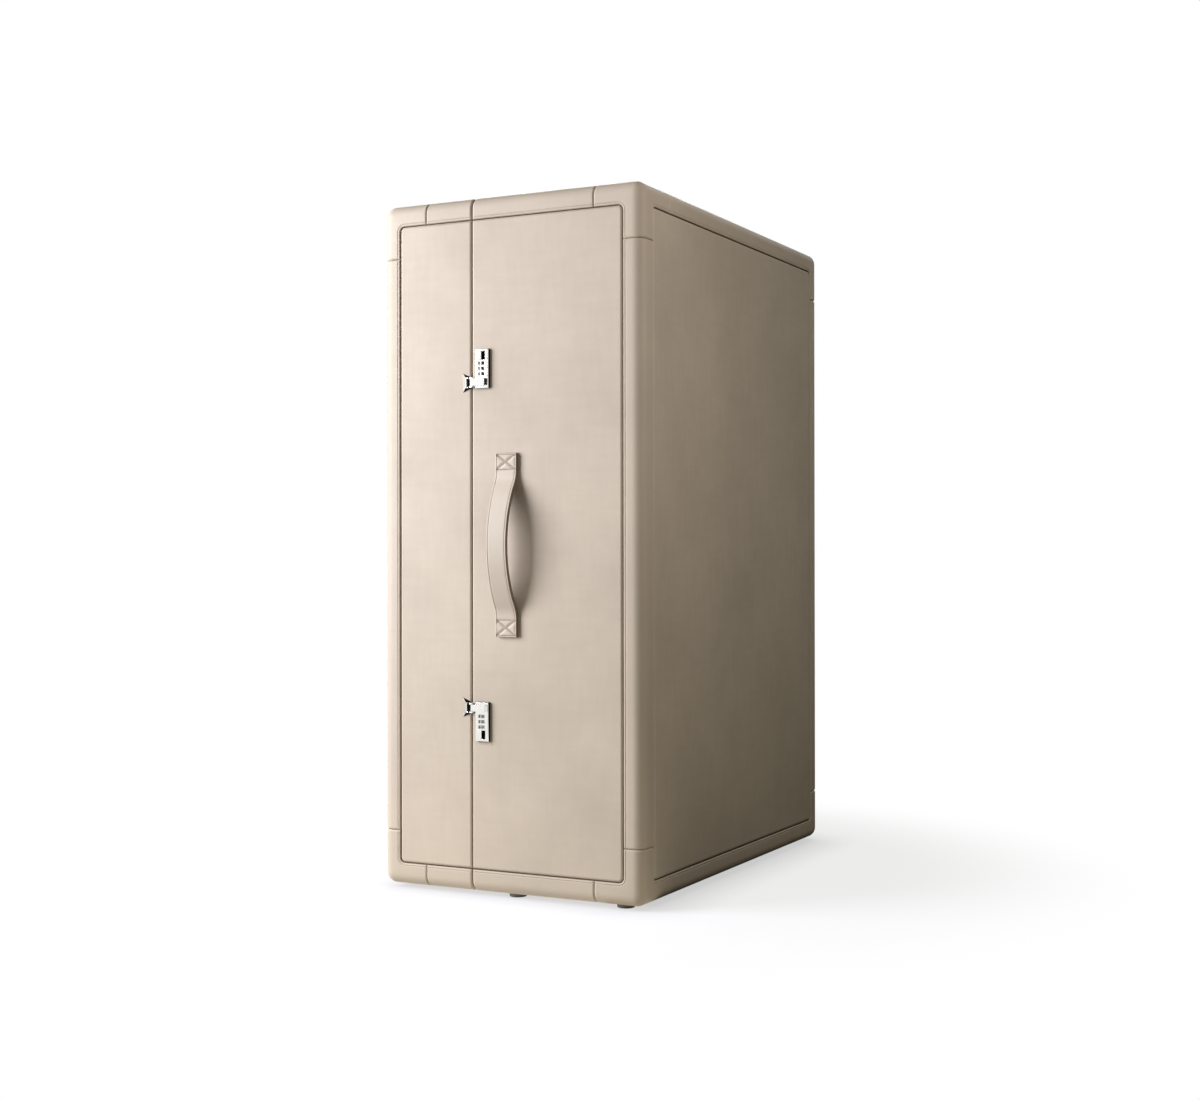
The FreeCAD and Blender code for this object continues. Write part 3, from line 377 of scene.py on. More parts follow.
def crease(distance, deep, half):
    """How deep a sewn furrow lies, this far from its middle line."""
    return deep * 0.5 * (1 + math.cos(math.pi * distance / half)) if distance < half else 0.0


def binding_relief(distance):
    """A binding from its groove inwards: a round bead, then the stitched crease."""
    return max(rolled(distance, ROLL_BEAD),
               crease(abs(distance - CREASE_AT), CREASE_DEEP, CREASE_HALF))


BEAD_LINES = [d * MM for d in (0, 0.1, 0.3, 0.6, 1.0, 1.5, 2.2, 2.9, 3.3, 3.65, 4.0, 4.35, 4.7,
                               5.1, 6.0)]
BUTT_LINES = [d * MM for d in (0, 0.15, 0.4, 0.8, 1.2, 1.7, 2.4, 3.2)]
PANEL_LINES = [d * MM for d in (0, 0.15, 0.4, 0.8, 1.3, 1.9, 2.5, 3.1, 3.8, 4.4)]
SHADE_FROM, SHADE_TO = 2.0 * MM, 2.8 * MM         # from this depth painted shade gathers, to full here
print("lines into a bead, a butt and a panel:", len(BEAD_LINES), len(BUTT_LINES),
      len(PANEL_LINES))


# %% Helpers for meshes and objects
def mesh_from(name, shape):
    """Writes a built shape to a new mesh, and lets the shape go."""
    mesh = bpy.data.meshes.new(name)
    shape.to_mesh(mesh)
    shape.free()
    return mesh


def put_in_scene(name, data):
    made = bpy.data.objects.new(name, data)
    bpy.context.scene.collection.objects.link(made)
    return made


def join_rows(shape, first, second, ring=True):
    """Faces between two rows of points, closed round where the rows are rings."""
    count = len(first)
    return [shape.faces.new((first[k], first[(k + 1) % count],
                             second[(k + 1) % count], second[k]))
            for k in range(count if ring else count - 1)]


def finish_piece(name, shape, body, materials, slot, nodes=(), sharp=35):
    """Turns a built shape into an object that rides on its body."""
    mesh = mesh_from(name, shape)
    for material in materials:
        mesh.materials.append(material)
    mesh.shade_smooth()
    mesh.set_sharp_from_angle(angle=math.radians(sharp))
    piece = put_in_scene(name, mesh)
    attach(piece, body)
    if nodes:
        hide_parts(*nodes)
    return piece


# %% Close a skin into a sheet of leather
SKIN_MERGE, SLIVER = 0.02 * MM, 0.001 * MM


def sheet_of_leather(name, patches, body, material, nodes=()):
    """Patches are rows of (place, outward direction, depth). Returns the finished piece."""
    shape = bmesh.new()
    outward = shape.verts.layers.float_vector.new("outward")
    depth = shape.verts.layers.float.new("depth")
    painted_shade_and_ink = shape.verts.layers.float.new("painted_shade_and_ink")
    for rows, ring in patches:
        grid = []
        for row in rows:
            line = []
            for place, way, deep in row:
                vert = shape.verts.new(place)
                vert[outward], vert[depth] = way, deep
                line.append(vert)
            grid.append(line)
        for first, second in zip(grid, grid[1:]):
            join_rows(shape, first, second, ring)
        if ring:
            shape.faces.new(grid[-1])
    bmesh.ops.remove_doubles(shape, verts=shape.verts, dist=SKIN_MERGE)
    bmesh.ops.dissolve_degenerate(shape, edges=shape.edges, dist=SLIVER)
    outer = list(shape.faces)
    border = [e for e in shape.edges if len(e.link_faces) == 1]
    under = {}
    for vert in list(shape.verts):
        twin = shape.verts.new(vert.co - vert[outward] * THICK)
        # The underside and the turned-in walls start fully dark, as painted shade
        twin[painted_shade_and_ink] = 1.0
        under[vert] = twin
    for face in outer:
        shape.faces.new([under[v] for v in reversed(face.verts)])
    for edge in border:
        a, b = edge.verts
        shape.faces.new((a, b, under[b], under[a]))
    for vert in under:
        # Painted shade: the deeper a point lies in its rolled edge, the darker it is
        vert[painted_shade_and_ink] = min(1.0, max(0.0, (vert[depth] - SHADE_FROM) / (SHADE_TO - SHADE_FROM)))
        vert.co -= vert[outward] * vert[depth]
    bmesh.ops.recalc_face_normals(shape, faces=shape.faces)
    return finish_piece(name, shape, body, [material], "leather", nodes)


# %% [markdown]
# ## Panels
# Each face of each tray has one flat panel. It is a rounded rectangle, except that the
# lid and the body share the front, back, top and bottom faces: there the panels meet at
# the seam with nearly square corners. A bevelled box would round its underside too and
# give every edge the same quarter circle. So rings of points step in from the border and
# down the rolled edge, and one flat face fills the middle.

# %% Where a panel's border runs
def corner_ring(low, high, radii, inset):
    """Points round a rectangle with its own radius at each corner, moved in by an inset."""
    ring = []
    corners = ((0, 0, 180), (1, 0, 270), (1, 1, 0), (0, 1, 90))
    for (right, up, start), radius in zip(corners, radii):
        turn = max(radius - inset, 0.1 * MM)
        u = (high[0] - inset - turn) if right else (low[0] + inset + turn)
        v = (high[1] - inset - turn) if up else (low[1] + inset + turn)
        for k in range(ARC + 1):
            angle = math.radians(start + 90 * k / ARC)
            ring.append((u + turn * math.cos(angle), v + turn * math.sin(angle)))
    return ring


def face_span(axis, tray):
    """From where to where a tray's panel runs along an axis, and the radii at both ends."""
    low, high = LOW[axis] + MARGIN[axis], HIGH[axis] - MARGIN[axis]
    ends = [PANEL_CORNER, PANEL_CORNER]
    if axis == 0 and tray == "lid":
        high, ends[1] = LID_EDGE, SEAM_CORNER
    if axis == 0 and tray == "body":
        low, ends[0] = BODY_EDGE, SEAM_CORNER
    return low, high, ends


# %% Build the panels
def panel_patch(tray, normal_axis, side):
    """Rings of points on one face, from its border in to the flat middle."""
    u_axis, v_axis = [axis for axis in range(3) if axis != normal_axis]
    u0, u1, u_ends = face_span(u_axis, tray)
    v0, v1, v_ends = face_span(v_axis, tray)
    radii = [min(u_ends[0], v_ends[0]), min(u_ends[1], v_ends[0]),
             min(u_ends[1], v_ends[1]), min(u_ends[0], v_ends[1])]
    way = [0.0, 0.0, 0.0]
    way[normal_axis] = side
    level = (HIGH if side > 0 else LOW)[normal_axis]
    rows = []
    for inset in PANEL_LINES:
        row = []
        for u, v in corner_ring((u0, v0), (u1, v1), radii, inset):
            place = [0.0, 0.0, 0.0]
            place[normal_axis], place[u_axis], place[v_axis] = level, u, v
            row.append((place, Vector(way), rolled(inset, ROLL_PANEL)))
        rows.append(row)
    return rows, True


for tray, body, x_side in TRAYS:
    faces = [(0, x_side)] + [(axis, side) for axis in (1, 2) for side in (-1, 1)]
    sheet_of_leather(tray + "_panels", [panel_patch(tray, *face) for face in faces], body,
                     panel_leather, [tray + "_leather_panels"])
    print(tray, "panels:", len(faces))

# %% [markdown]
# ## Bindings
# A binding is a strip folded over one edge of the trunk, from the groove of one face
# round to the groove of the next. Its section is drawn once from both grooves: bead,
# crease, flat, then a quarter turn. A curve with a bevel shape could carry the section
# along the edge, but its ends would be cut square. Here the section is pushed along in
# stops, and the last few dip, so that the ends are rolled where the strip meets a corner
# cap or the seam between the trays.

# %% A binding's section
def groove_line(axis):
    """Distance from a face's edge to the binding side of its groove."""
    return MARGIN[axis] - GROOVE


def cross_section(i, j):
    """Points over the edge between the faces of axes i and j: (ci, cj, ni, nj, depth)."""
    first = [(groove_line(i) - d, 0.0, 0.0, -1.0, binding_relief(d)) for d in BEAD_LINES]
    second = [(0.0, groove_line(j) - d, -1.0, 0.0, binding_relief(d)) for d in BEAD_LINES]
    bend = [(ROUND - ROUND * math.sin(angle), ROUND - ROUND * math.cos(angle),
             -math.sin(angle), -math.cos(angle), 0.0) for angle in QUARTER]
    return first + bend + second[::-1]


def to_trunk(sides, local, way, depth):
    """Takes a point measured in from three faces to its place on the trunk."""
    place = [LOW[a] + local[a] if sides[a] < 0 else HIGH[a] - local[a] for a in range(3)]
    return place, Vector([-sides[a] * way[a] for a in range(3)]), depth


# %% Build the bindings
def binding_patch(axis, sides, start, end, start_lines, end_lines, start_roll, end_roll):
    """A strip along an axis. Start and end are distances in from that axis's own face."""
    i, j = [a for a in range(3) if a != axis]
    stations = [(start + d, rolled(d, start_roll)) for d in start_lines]
    stations += [(end - d, rolled(d, end_roll)) for d in end_lines[::-1]]
    rows = []
    for along, end_depth in stations:
        row = []
        for ci, cj, ni, nj, depth in cross_section(i, j):
            local, way = [0.0] * 3, [0.0] * 3
            local[axis], local[i], local[j] = along, ci, cj
            way[i], way[j] = ni, nj
            row.append(to_trunk(sides, local, way, max(depth, end_depth)))
        rows.append(row)
    return rows, False


for tray, body, x_side in TRAYS:
    strips = []
    seam_reach = LID_EDGE - LEFT if tray == "lid" else RIGHT - BODY_EDGE
    for a in (-1, 1):
        for b in (-1, 1):
            strips.append(binding_patch(0, (x_side, a, b), CAP[0] + BUTT, seam_reach,
                                        BUTT_LINES, PANEL_LINES, ROLL_BUTT, ROLL_PANEL))
    for axis in (1, 2):
        reach = HIGH[axis] - LOW[axis] - CAP[axis] - BUTT
        for other in (-1, 1):
            sides = [x_side, other, other]
            sides[axis] = -1
            strips.append(binding_patch(axis, sides, CAP[axis] + BUTT, reach,
                                        BUTT_LINES, BUTT_LINES, ROLL_BUTT, ROLL_BUTT))
    sheet_of_leather(tray + "_bindings", strips, body, binding_leather,
                     [tray + "_edge_bindings"])
    print(tray, "bindings:", len(strips))


# %% [markdown]
# ## Corner caps
# A cap is one piece of leather wet-moulded over a corner. It could be cut from a ball
# and three planes with booleans, but then the bead could not follow the groove. Instead
# it is laid out in seven patches that share their border points: an L on each of the
# three faces, whose lines run alongside the groove, a quarter roll over each edge, and
# an eighth of a ball in the middle. Doubled points are merged, and one cap is mirrored
# to all eight corners by measuring from the faces that meet there.

# %% A cap's patch on each face
def corner_stops(axis):
    """Where the cap's lines meet an edge: (distance along, depth of the end roll)."""
    end = CAP[axis] - BUTT
    curve = MARGIN[axis] + PANEL_CORNER
    stops = [(end - d, rolled(d, ROLL_BUTT)) for d in BUTT_LINES]
    stops += [((end + curve) / 2, 0.0), (curve, 0.0)]
    half = ARC // 2
    stops += [(curve - (curve - ROUND) * k / half, 0.0) for k in range(1, half + 1)]
    return stops


def elbow_patch(i, j, sides):
    """The L on the face that axis k points out of, between the faces of axes i and j."""
    k = 3 - i - j
    curve_i, curve_j = MARGIN[i] + PANEL_CORNER, MARGIN[j] + PANEL_CORNER
    radius = PANEL_CORNER + GROOVE
    i_stops, j_stops = corner_stops(i), corner_stops(j)
    straight = len(BUTT_LINES) + 2            # stops that come before the groove's curve
    stations = []
    for along, depth in i_stops[:straight]:
        stations.append(((along, groove_line(j)), (0.0, -1.0), (along, ROUND), depth))
    for step in range(1, ARC):
        way = (-math.sin(QUARTER[step]), -math.cos(QUARTER[step]))
        start = (curve_i + radius * way[0], curve_j + radius * way[1])
        if step <= ARC // 2:
            target = (i_stops[straight - 1 + step][0], ROUND)
        else:
            target = (ROUND, j_stops[straight - 1 + ARC - step][0])
        stations.append((start, way, target, 0.0))
    for along, depth in reversed(j_stops[:straight]):
        stations.append(((groove_line(i), along), (-1.0, 0.0), (ROUND, along), depth))
    rows = []
    normal = [0.0] * 3
    normal[k] = -1.0
    for start, way, target, end_depth in stations:
        row = []
        for d in BEAD_LINES + [None]:
            flat = target if d is None else (start[0] + way[0] * d, start[1] + way[1] * d)
            local = [0.0] * 3
            local[i], local[j] = flat
            depth = end_depth if d is None else max(binding_relief(d), end_depth)
            row.append(to_trunk(sides, local, normal, depth))
        rows.append(row)
    return rows, False


# %% A cap's patches over the edges and the corner
def edge_patch(axis, sides):
    """A quarter roll over the edge between the two faces that the axis runs along."""
    i, j = [a for a in range(3) if a != axis]
    rows = []
    for along, depth in corner_stops(axis):
        row = []
        for angle in QUARTER:
            local, way = [0.0] * 3, [0.0] * 3
            way[i], way[j] = -math.sin(angle), -math.cos(angle)
            local[axis] = along
            local[i], local[j] = ROUND * (1 + way[i]), ROUND * (1 + way[j])
            row.append(to_trunk(sides, local, way, depth))
        rows.append(row)
    return rows, False


def ball_patch(sides):
    """An eighth of a ball, between the three rolls."""
    rows = []
    for lift in QUARTER:
        row = []
        for turn in QUARTER:
            way = (-math.cos(lift) * math.sin(turn), -math.cos(lift) * math.cos(turn),
                   -math.sin(lift))
            row.append(to_trunk(sides, [ROUND * (1 + w) for w in way], way, 0.0))
        rows.append(row)
    return rows, False


# %% Build the corner caps
for tray, body, x_side in TRAYS:
    patches = []
    for y_side in (-1, 1):
        for z_side in (-1, 1):
            sides = (x_side, y_side, z_side)
            patches += [elbow_patch(i, j, sides) for i, j in ((0, 1), (0, 2), (1, 2))]
            patches += [edge_patch(axis, sides) for axis in range(3)]
            patches.append(ball_patch(sides))
    sheet_of_leather(tray + "_caps", patches, body, binding_leather, [tray + "_corner_caps"])
    print(tray, "cap patches:", len(patches))

# %% [markdown]
# ## Stitching
# The bindings and caps are sewn down along the crease. Each stitch is a short thread
# that dives into the leather at both ends. A bump drawn on the leather would lose its
# shadows close up, and an object for each stitch would make thousands of them. So one
# small capsule is built again and again along a line, and all the stitches of a tray are
# joined in a single mesh, which is light to draw and still real geometry.

# %% Helpers for stitches
STITCH_PITCH = 3.3 * MM
STITCH_LONG = 2.7 * MM
THREAD_RADIUS = 0.36 * MM
THREAD_SIDES = 5
THREAD_RINGS = ((-0.5, 1.3, -0.4, 1.0), (-0.28, 1.0, 0.0, 0.05), (0.28, 1.0, 0.0, 0.05),
                (0.5, 1.3, -0.4, 1.0))      # along, thickness, height, painted shade where it enters the hole


def stitch_mesh():
    shape = bmesh.new()
    shape.verts.layers.float.new("painted_shade_and_ink")
    return shape


def add_stitch(shape, middle, along, outward):
    """One thread, lying along a direction and bulging outward."""
    along, outward = along.normalized(), outward.normalized()
    across = along.cross(outward)
    painted_shade_and_ink = shape.verts.layers.float["painted_shade_and_ink"]
    rings = []
    for share, wide, sink, dark in THREAD_RINGS:
        centre = middle + along * (share * STITCH_LONG) + outward * (sink * THREAD_RADIUS * 2)
        ring = []
        for k in range(THREAD_SIDES):
            angle = 2 * math.pi * k / THREAD_SIDES
            offset = across * math.cos(angle) + outward * math.sin(angle)
            vert = shape.verts.new(centre + offset * (THREAD_RADIUS * wide))
            vert[painted_shade_and_ink] = dark
            ring.append(vert)
        rings.append(ring)
    for first, second in zip(rings, rings[1:]):
        join_rows(shape, first, second)
    shape.faces.new(rings[0][::-1])
    shape.faces.new(rings[-1])


def walk(points, pitch):
    """Evenly spaced (place, direction) pairs along a line of points."""
    left = pitch / 2
    for start, end in zip(points, points[1:]):
        run = end - start
        while left <= run.length:
            yield start + run * (left / run.length), run
            left += pitch
        left -= run.length


# %% Stitch round every face
def clear_of_joins(place, normal_axis):
    """Whether a stitch keeps off the seam and off the caps' butted ends."""
    room = STITCH_LONG * 0.75
    if min(abs(place.x - LID_EDGE), abs(place.x - BODY_EDGE)) < room:
        return False
    for axis in range(3):
        ends = (LOW[axis] + CAP[axis], HIGH[axis] - CAP[axis])
        if axis != normal_axis and min(abs(place[axis] - end) for end in ends) < room:
            return False
    return True


stitches = {"lid": stitch_mesh(), "body": stitch_mesh()}
for normal_axis in range(3):
    u_axis, v_axis = [axis for axis in range(3) if axis != normal_axis]
    for side in (-1, 1):
        out = groove_line(u_axis) - CREASE_AT, groove_line(v_axis) - CREASE_AT
        low = (LOW[u_axis] + out[0], LOW[v_axis] + out[1])
        high = (HIGH[u_axis] - out[0], HIGH[v_axis] - out[1])
        radius = PANEL_CORNER + GROOVE + CREASE_AT
        ring = []
        for u, v in corner_ring(low, high, [radius] * 4, 0.0):
            place = Vector((0, 0, 0))
            place[u_axis], place[v_axis] = u, v
            place[normal_axis] = (HIGH if side > 0 else LOW)[normal_axis] \
                - side * (CREASE_DEEP - THREAD_RADIUS * 0.4)
            ring.append(place)
        outward = Vector((0, 0, 0))
        outward[normal_axis] = side
        for place, run in walk(ring + ring[:1], STITCH_PITCH):
            if clear_of_joins(place, normal_axis):
                tray = "lid" if place.x < LID_EDGE else "body"
                add_stitch(stitches[tray], place, run, outward)
for tray, body, x_side in TRAYS:
    count = len(stitches[tray].verts) // (THREAD_SIDES * len(THREAD_RINGS))
    finish_piece(tray + "_stitching", stitches[tray], body, [thread], "leather")
    print(tray, "stitches:", count)

# %% [markdown]
# ## The strap handle
# Two straps of leather are sewn together along both edges and fixed at two flat ends,
# with a bow between them that leaves room for a hand. The line is two arcs that meet in
# one tangent. A box bent along a curve would do for the bow, but the sewing pulls the
# leather down along both edges and in a box with a cross at each end. So the line is
# walked once for places and directions, and a section that knows where the seams run is
# set at each stop. The cut edges are inked dark, as bag makers do it, and that dark also
# stands for the shade on these edges, so it is partly painted shade. The sewn creases are
# darkened a little as painted shade.

# %% The strap's line
strap_low, strap_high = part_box("handle_strap")
STRAP_WIDE = strap_high.x - strap_low.x
STRAP_X = (strap_low.x + strap_high.x) / 2
STRAP_Z = (strap_low.z + strap_high.z) / 2
STRAP_LAYER = 3.5 * MM
STRAP_END = 30.5 * MM
STRAP_RISE = 34.0 * MM
FOOT_RADIUS = 50 * MM
STRAP_WAIST = 0.07                    # how much narrower the bow is than the flat ends
STRAP_HALF = (strap_high.z - strap_low.z) / 2 - STRAP_END
STRAP_TIP = STRAP_HALF + STRAP_END
FLAT_FROM, FLAT_STEPS, BOW_STEPS = 2 * MM, 28, 10
TURN = 2 * math.atan(STRAP_RISE / STRAP_HALF)
BOW_RADIUS = STRAP_HALF / math.sin(TURN) - FOOT_RADIUS


def strap_half():
    """From the flat end to the top of the bow: (stand-off, height, lean of the strap)."""
    line = [(0.0, STRAP_TIP - d * MM, 0.0) for d in (0, 0.1, 0.4, 0.8, 1.3)]
    line += [(0.0, STRAP_TIP - FLAT_FROM - (STRAP_END - FLAT_FROM) * k / FLAT_STEPS, 0.0)
             for k in range(FLAT_STEPS)]
    for k in range(BOW_STEPS):
        lean = TURN * k / BOW_STEPS
        line.append((FOOT_RADIUS * (1 - math.cos(lean)),
                     STRAP_HALF - FOOT_RADIUS * math.sin(lean), lean))
    for k in range(BOW_STEPS * 2):
        lean = TURN * (1 - k / (BOW_STEPS * 2))
        line.append((STRAP_RISE - BOW_RADIUS * (1 - math.cos(lean)),
                     BOW_RADIUS * math.sin(lean), lean))
    return line


upper_half = strap_half()
strap_line = upper_half + [(STRAP_RISE, 0.0, 0.0)]
strap_line += [(off, -z, -lean) for off, z, lean in reversed(upper_half)]


def strap_place(off, z, lean, across, height):
    """A point of the strap, this far across and this high over its underside."""
    out = Vector((0, -math.cos(lean), math.sin(lean)))
    across *= 1 - STRAP_WAIST * off / STRAP_RISE
    return Vector((STRAP_X + across, FRONT - off, STRAP_Z + z)) + out * height, out


print("strap, mm:", round(STRAP_WIDE / MM, 1), "x", round((strap_high.z - strap_low.z) / MM, 1))


# %% Where the sewing pulls the strap down
STRAP_SEAM = 3.2 * MM
STRAP_CREASE, STRAP_CREASE_HALF = 0.65 * MM, 1.0 * MM
BOX_CREASE, BOX_CREASE_HALF = 1.3 * MM, 4.4 * MM
BOX_NEAR, BOX_FAR = 3.4 * MM, STRAP_END - 2.6 * MM      # from the strap's end
BOX_HALF = STRAP_WIDE / 2 - STRAP_SEAM


def strap_dip(across, from_end):
    """How deep the sewing pulls the strap down: along both edges, and in a box with a cross."""
    dip = crease(abs(abs(across) - BOX_HALF), STRAP_CREASE, STRAP_CREASE_HALF)
    if abs(across) > BOX_HALF + STRAP_CREASE_HALF or from_end > BOX_FAR + BOX_CREASE_HALF:
        return dip
    to_bar = min(abs(from_end - BOX_NEAR), abs(from_end - BOX_FAR))
    middle, reach = (BOX_NEAR + BOX_FAR) / 2, (BOX_FAR - BOX_NEAR) / 2
    slope = reach / BOX_HALF
    to_cross = abs(abs(from_end - middle) - slope * abs(across)) / math.hypot(1, slope)
    if not BOX_NEAR < from_end < BOX_FAR:
        to_cross = to_bar
    return max(dip, crease(to_bar, STRAP_CREASE, STRAP_CREASE_HALF),
               crease(to_cross, BOX_CREASE, BOX_CREASE_HALF))


# %% A section of the strap
# How dark the sewn creases are painted, as painted shade
CREASE_SHADE = 0.4
STRAP_CORNER = (1.1 * MM, 1.3 * MM)
TIP_INKED = 0.5 * MM
GLUE_GAP = 0.05 * MM
ACROSS_STEPS = 26
EDGE_STEPS = [d * MM for d in (1.1, 1.7, 2.2, 2.7, 3.2, 3.7, 4.2)]


def strap_section(half, top, bottom, from_end):
    """Right round one strap: (across, height, share of edge ink and painted shade) from under
    the left edge.
    """
    # The cut edges: dark edge ink, partly painted shade on faces turned from the light
    left = [(-half + 0.4 * MM, bottom, 1.0), (-half, bottom + 0.4 * MM, 1.0),
            (-half, top - 0.9 * MM, 1.0), (-half + 0.1 * MM, top - 0.55 * MM, 0.6),
            (-half + 0.35 * MM, top - 0.22 * MM, 0.0)]
    inner = half - EDGE_STEPS[-1]
    spots = [-half + d for d in EDGE_STEPS]
    spots += [-inner + 2 * inner * k / ACROSS_STEPS for k in range(1, ACROSS_STEPS)]
    spots += [half - d for d in reversed(EDGE_STEPS)]
    surface = []
    for across in spots:
        dip = strap_dip(across, from_end)
        surface.append((across, top - dip, CREASE_SHADE * min(1.0, dip / BOX_CREASE) ** 2))
    return left + surface + [(-across, height, ink_and_shade) for across, height, ink_and_shade in reversed(left)]


# %% Build the two straps
def build_strap(name, bottom, top, node_name):
    shape = bmesh.new()
    painted_shade_and_ink = shape.verts.layers.float.new("painted_shade_and_ink")
    rings = []
    for off, z, lean in strap_line:
        from_end = STRAP_TIP - abs(z)
        half = STRAP_WIDE / 2 - rolled(from_end, STRAP_CORNER)
        lowered = top - rolled(from_end, STRAP_CORNER)
        ring = []
        for across, height, ink_and_shade in strap_section(half, lowered, bottom, from_end):
            place, out = strap_place(off, z, lean, across, height)
            vert = shape.verts.new(place)
            vert[painted_shade_and_ink] = max(ink_and_shade, 0.5 if from_end < TIP_INKED else 0.0)
            ring.append(vert)
        rings.append(ring)
    for first, second in zip(rings, rings[1:]):
        join_rows(shape, first, second)
    shape.faces.new(rings[0])
    shape.faces.new(rings[-1][::-1])
    bmesh.ops.recalc_face_normals(shape, faces=shape.faces)
    return finish_piece(name, shape, "trunk_body", [strap_leather], "leather", [node_name], 50)


build_strap("strap_outer", STRAP_LAYER, 2 * STRAP_LAYER, "handle_strap")
build_strap("strap_backing", 0.0, STRAP_LAYER - GLUE_GAP, "handle_backing")
print("points along the strap:", len(strap_line))

# %% Sew the strap
THREAD_SUNK = 0.8                     # how much of a crease's depth the thread lies down
sewn = stitch_mesh()


def sew(points, outwards, dip):
    """Stitches along places on the strap, with the outward direction at each."""
    total = sum((end - start).length for start, end in zip(points, points[1:]))
    count = max(2, round(total / STITCH_PITCH))
    steps, done = [total * (k + 0.5) / count for k in range(count)], 0.0
    for (start, end), out in zip(zip(points, points[1:]), outwards):
        length = (end - start).length
        for step in steps:
            if done <= step < done + length:
                place = start + (end - start) * ((step - done) / length)
                add_stitch(sewn, place - out * (dip * THREAD_SUNK), end - start, out)
        done += length


for side in (-1, 1):
    places = [strap_place(off, z, lean, side * BOX_HALF, 2 * STRAP_LAYER)
              for off, z, lean in strap_line if abs(z) < STRAP_TIP - BOX_NEAR]
    sew([place for place, out in places], [out for place, out in places], STRAP_CREASE)
for end in (-1, 1):
    near, far = end * (STRAP_TIP - BOX_NEAR), end * (STRAP_TIP - BOX_FAR)
    corners = {(s, z): strap_place(0.0, z, 0.0, s * BOX_HALF, 2 * STRAP_LAYER)[0]
               for s in (-1, 1) for z in (near, far)}
    for left_z, right_z, dip in ((near, near, STRAP_CREASE), (far, far, STRAP_CREASE),
                                 (near, far, BOX_CREASE), (far, near, BOX_CREASE)):
        sew([corners[-1, left_z], corners[1, right_z]], [Vector((0, -1, 0))], dip)
strap_stitches = finish_piece("strap_stitching", sewn, "trunk_body", [thread], "leather")
points_in_one = THREAD_SIDES * len(THREAD_RINGS)
print("strap stitches:", len(strap_stitches.data.vertices) // points_in_one)


# %% [markdown]
# ## Dressing the hard parts
# Wood and metal parts have the right shape already, but a machined edge is never quite
# sharp, and it is the thin highlight on a broken edge that makes metal look like metal.
# A CAD node is never changed, so each is copied: doubled points are merged, flat faces
# are joined up again, and every edge sharper than 30 degrees gets a small bevel. A bevel
# modifier would round the copy as well, but then its new faces couldn't be picked for
# their own finish. A modifier that weighs normals by area keeps the flats looking flat.

# %% Copy a node with its edges broken
NODE_MERGE = 0.002 * MM
FLAT_WITHIN, SHARP_FROM = math.radians(0.5), math.radians(30)


def body_of_node(node_name):
    groups = frame["record"]["behaviour"]["bodies"]
    return next(body for body, members in groups.items() if node_name in members)


def copy_of_node(node_name):
    shape = bmesh.new()
    shape.from_mesh(frame["nodes"][node_name].data)
    bmesh.ops.remove_doubles(shape, verts=shape.verts, dist=NODE_MERGE)
    return shape


def dressed(node_name, materials, slot, edge_mm=0.3, segments=2, pick=None):
    shape = copy_of_node(node_name)
    bmesh.ops.dissolve_limit(shape, angle_limit=FLAT_WITHIN, verts=shape.verts,
                             edges=shape.edges)
    sharp = [e for e in shape.edges if len(e.link_faces) == 2
             and e.calc_face_angle(0.0) > SHARP_FROM]
    bmesh.ops.bevel(shape, geom=sharp, offset=edge_mm * MM, segments=segments, profile=0.5,
                    affect="EDGES", clamp_overlap=True)
    bmesh.ops.recalc_face_normals(shape, faces=shape.faces)
    if pick:
        for face in shape.faces:
            face.material_index = pick(face)
    piece = finish_piece(node_name + "_finished", shape, body_of_node(node_name), materials,
                         slot, [node_name], 40)
    piece.modifiers.new("even_normals", "WEIGHTED_NORMAL").keep_sharp = True
    return piece


def dress_all(names, materials, slot, **how):
    for node_name in names:
        dressed(node_name, materials, slot, **how)
    print(slot, "parts:", len(names))


# %% [markdown]
# ## Locks and hasps
# The lock plates, hasps and brackets are nickel. Seen from the front, what reads as a
# lock is the contrast between polished faces and black openings. A painted mask would
# blur at such small sizes, so each face gets its finish by where it lies and which way
# it looks. A plate is polished on its face and its chamfer, and near black down its sides
# and in its openings, as painted shade. A bracket is satin on its long slope and near
# black on the two flanks that face up and down, like the arm, whose barrel is near black
# down its left too: painted shade on faces turned from the key lamp. Beside the knuckles
# a channel is sunk. The face over it stays in place and is painted black as shade, so the
# channel shows as a flat black mark.

# %% Dress the locks
plate_low, plate_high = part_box("lock_plates")
PLATE_TALL, PLATE_RIM = 67.6 * MM, 1.05 * MM          # the rim is the face with its chamfer
hasp_heights = [sum(corner.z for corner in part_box("hasp_arm_" + lock)) / 2
                for lock in ("upper", "lower")]


def plate_finish(face):
    """Polished on the face and its chamfer, and near black as painted shade down the sides and
    in the openings.
    """
    deep = face.calc_center_median().y > plate_low.y + PLATE_RIM
    return 1 if deep and face.normal.y < 0.5 else 0


def bracket_finish(face):
    """Polished on the crown, near black as painted shade on the flanks, satin on the slope at
    the left.
    """
    way = face.normal
    if face.calc_center_median().x > LID_EDGE:
        return 1 if abs(way.z) > 0.6 else 0
    return 2 if way.x < -0.3 else 1 if 0.45 < abs(way.z) < 0.95 else 0


def arm_finish(face):
    """Polished, but near black as painted shade on the flanks that face up and down, and down
    the barrel's left.
    """
    return 1 if abs(face.normal.z) > 0.6 or face.normal.x < -0.35 else 0


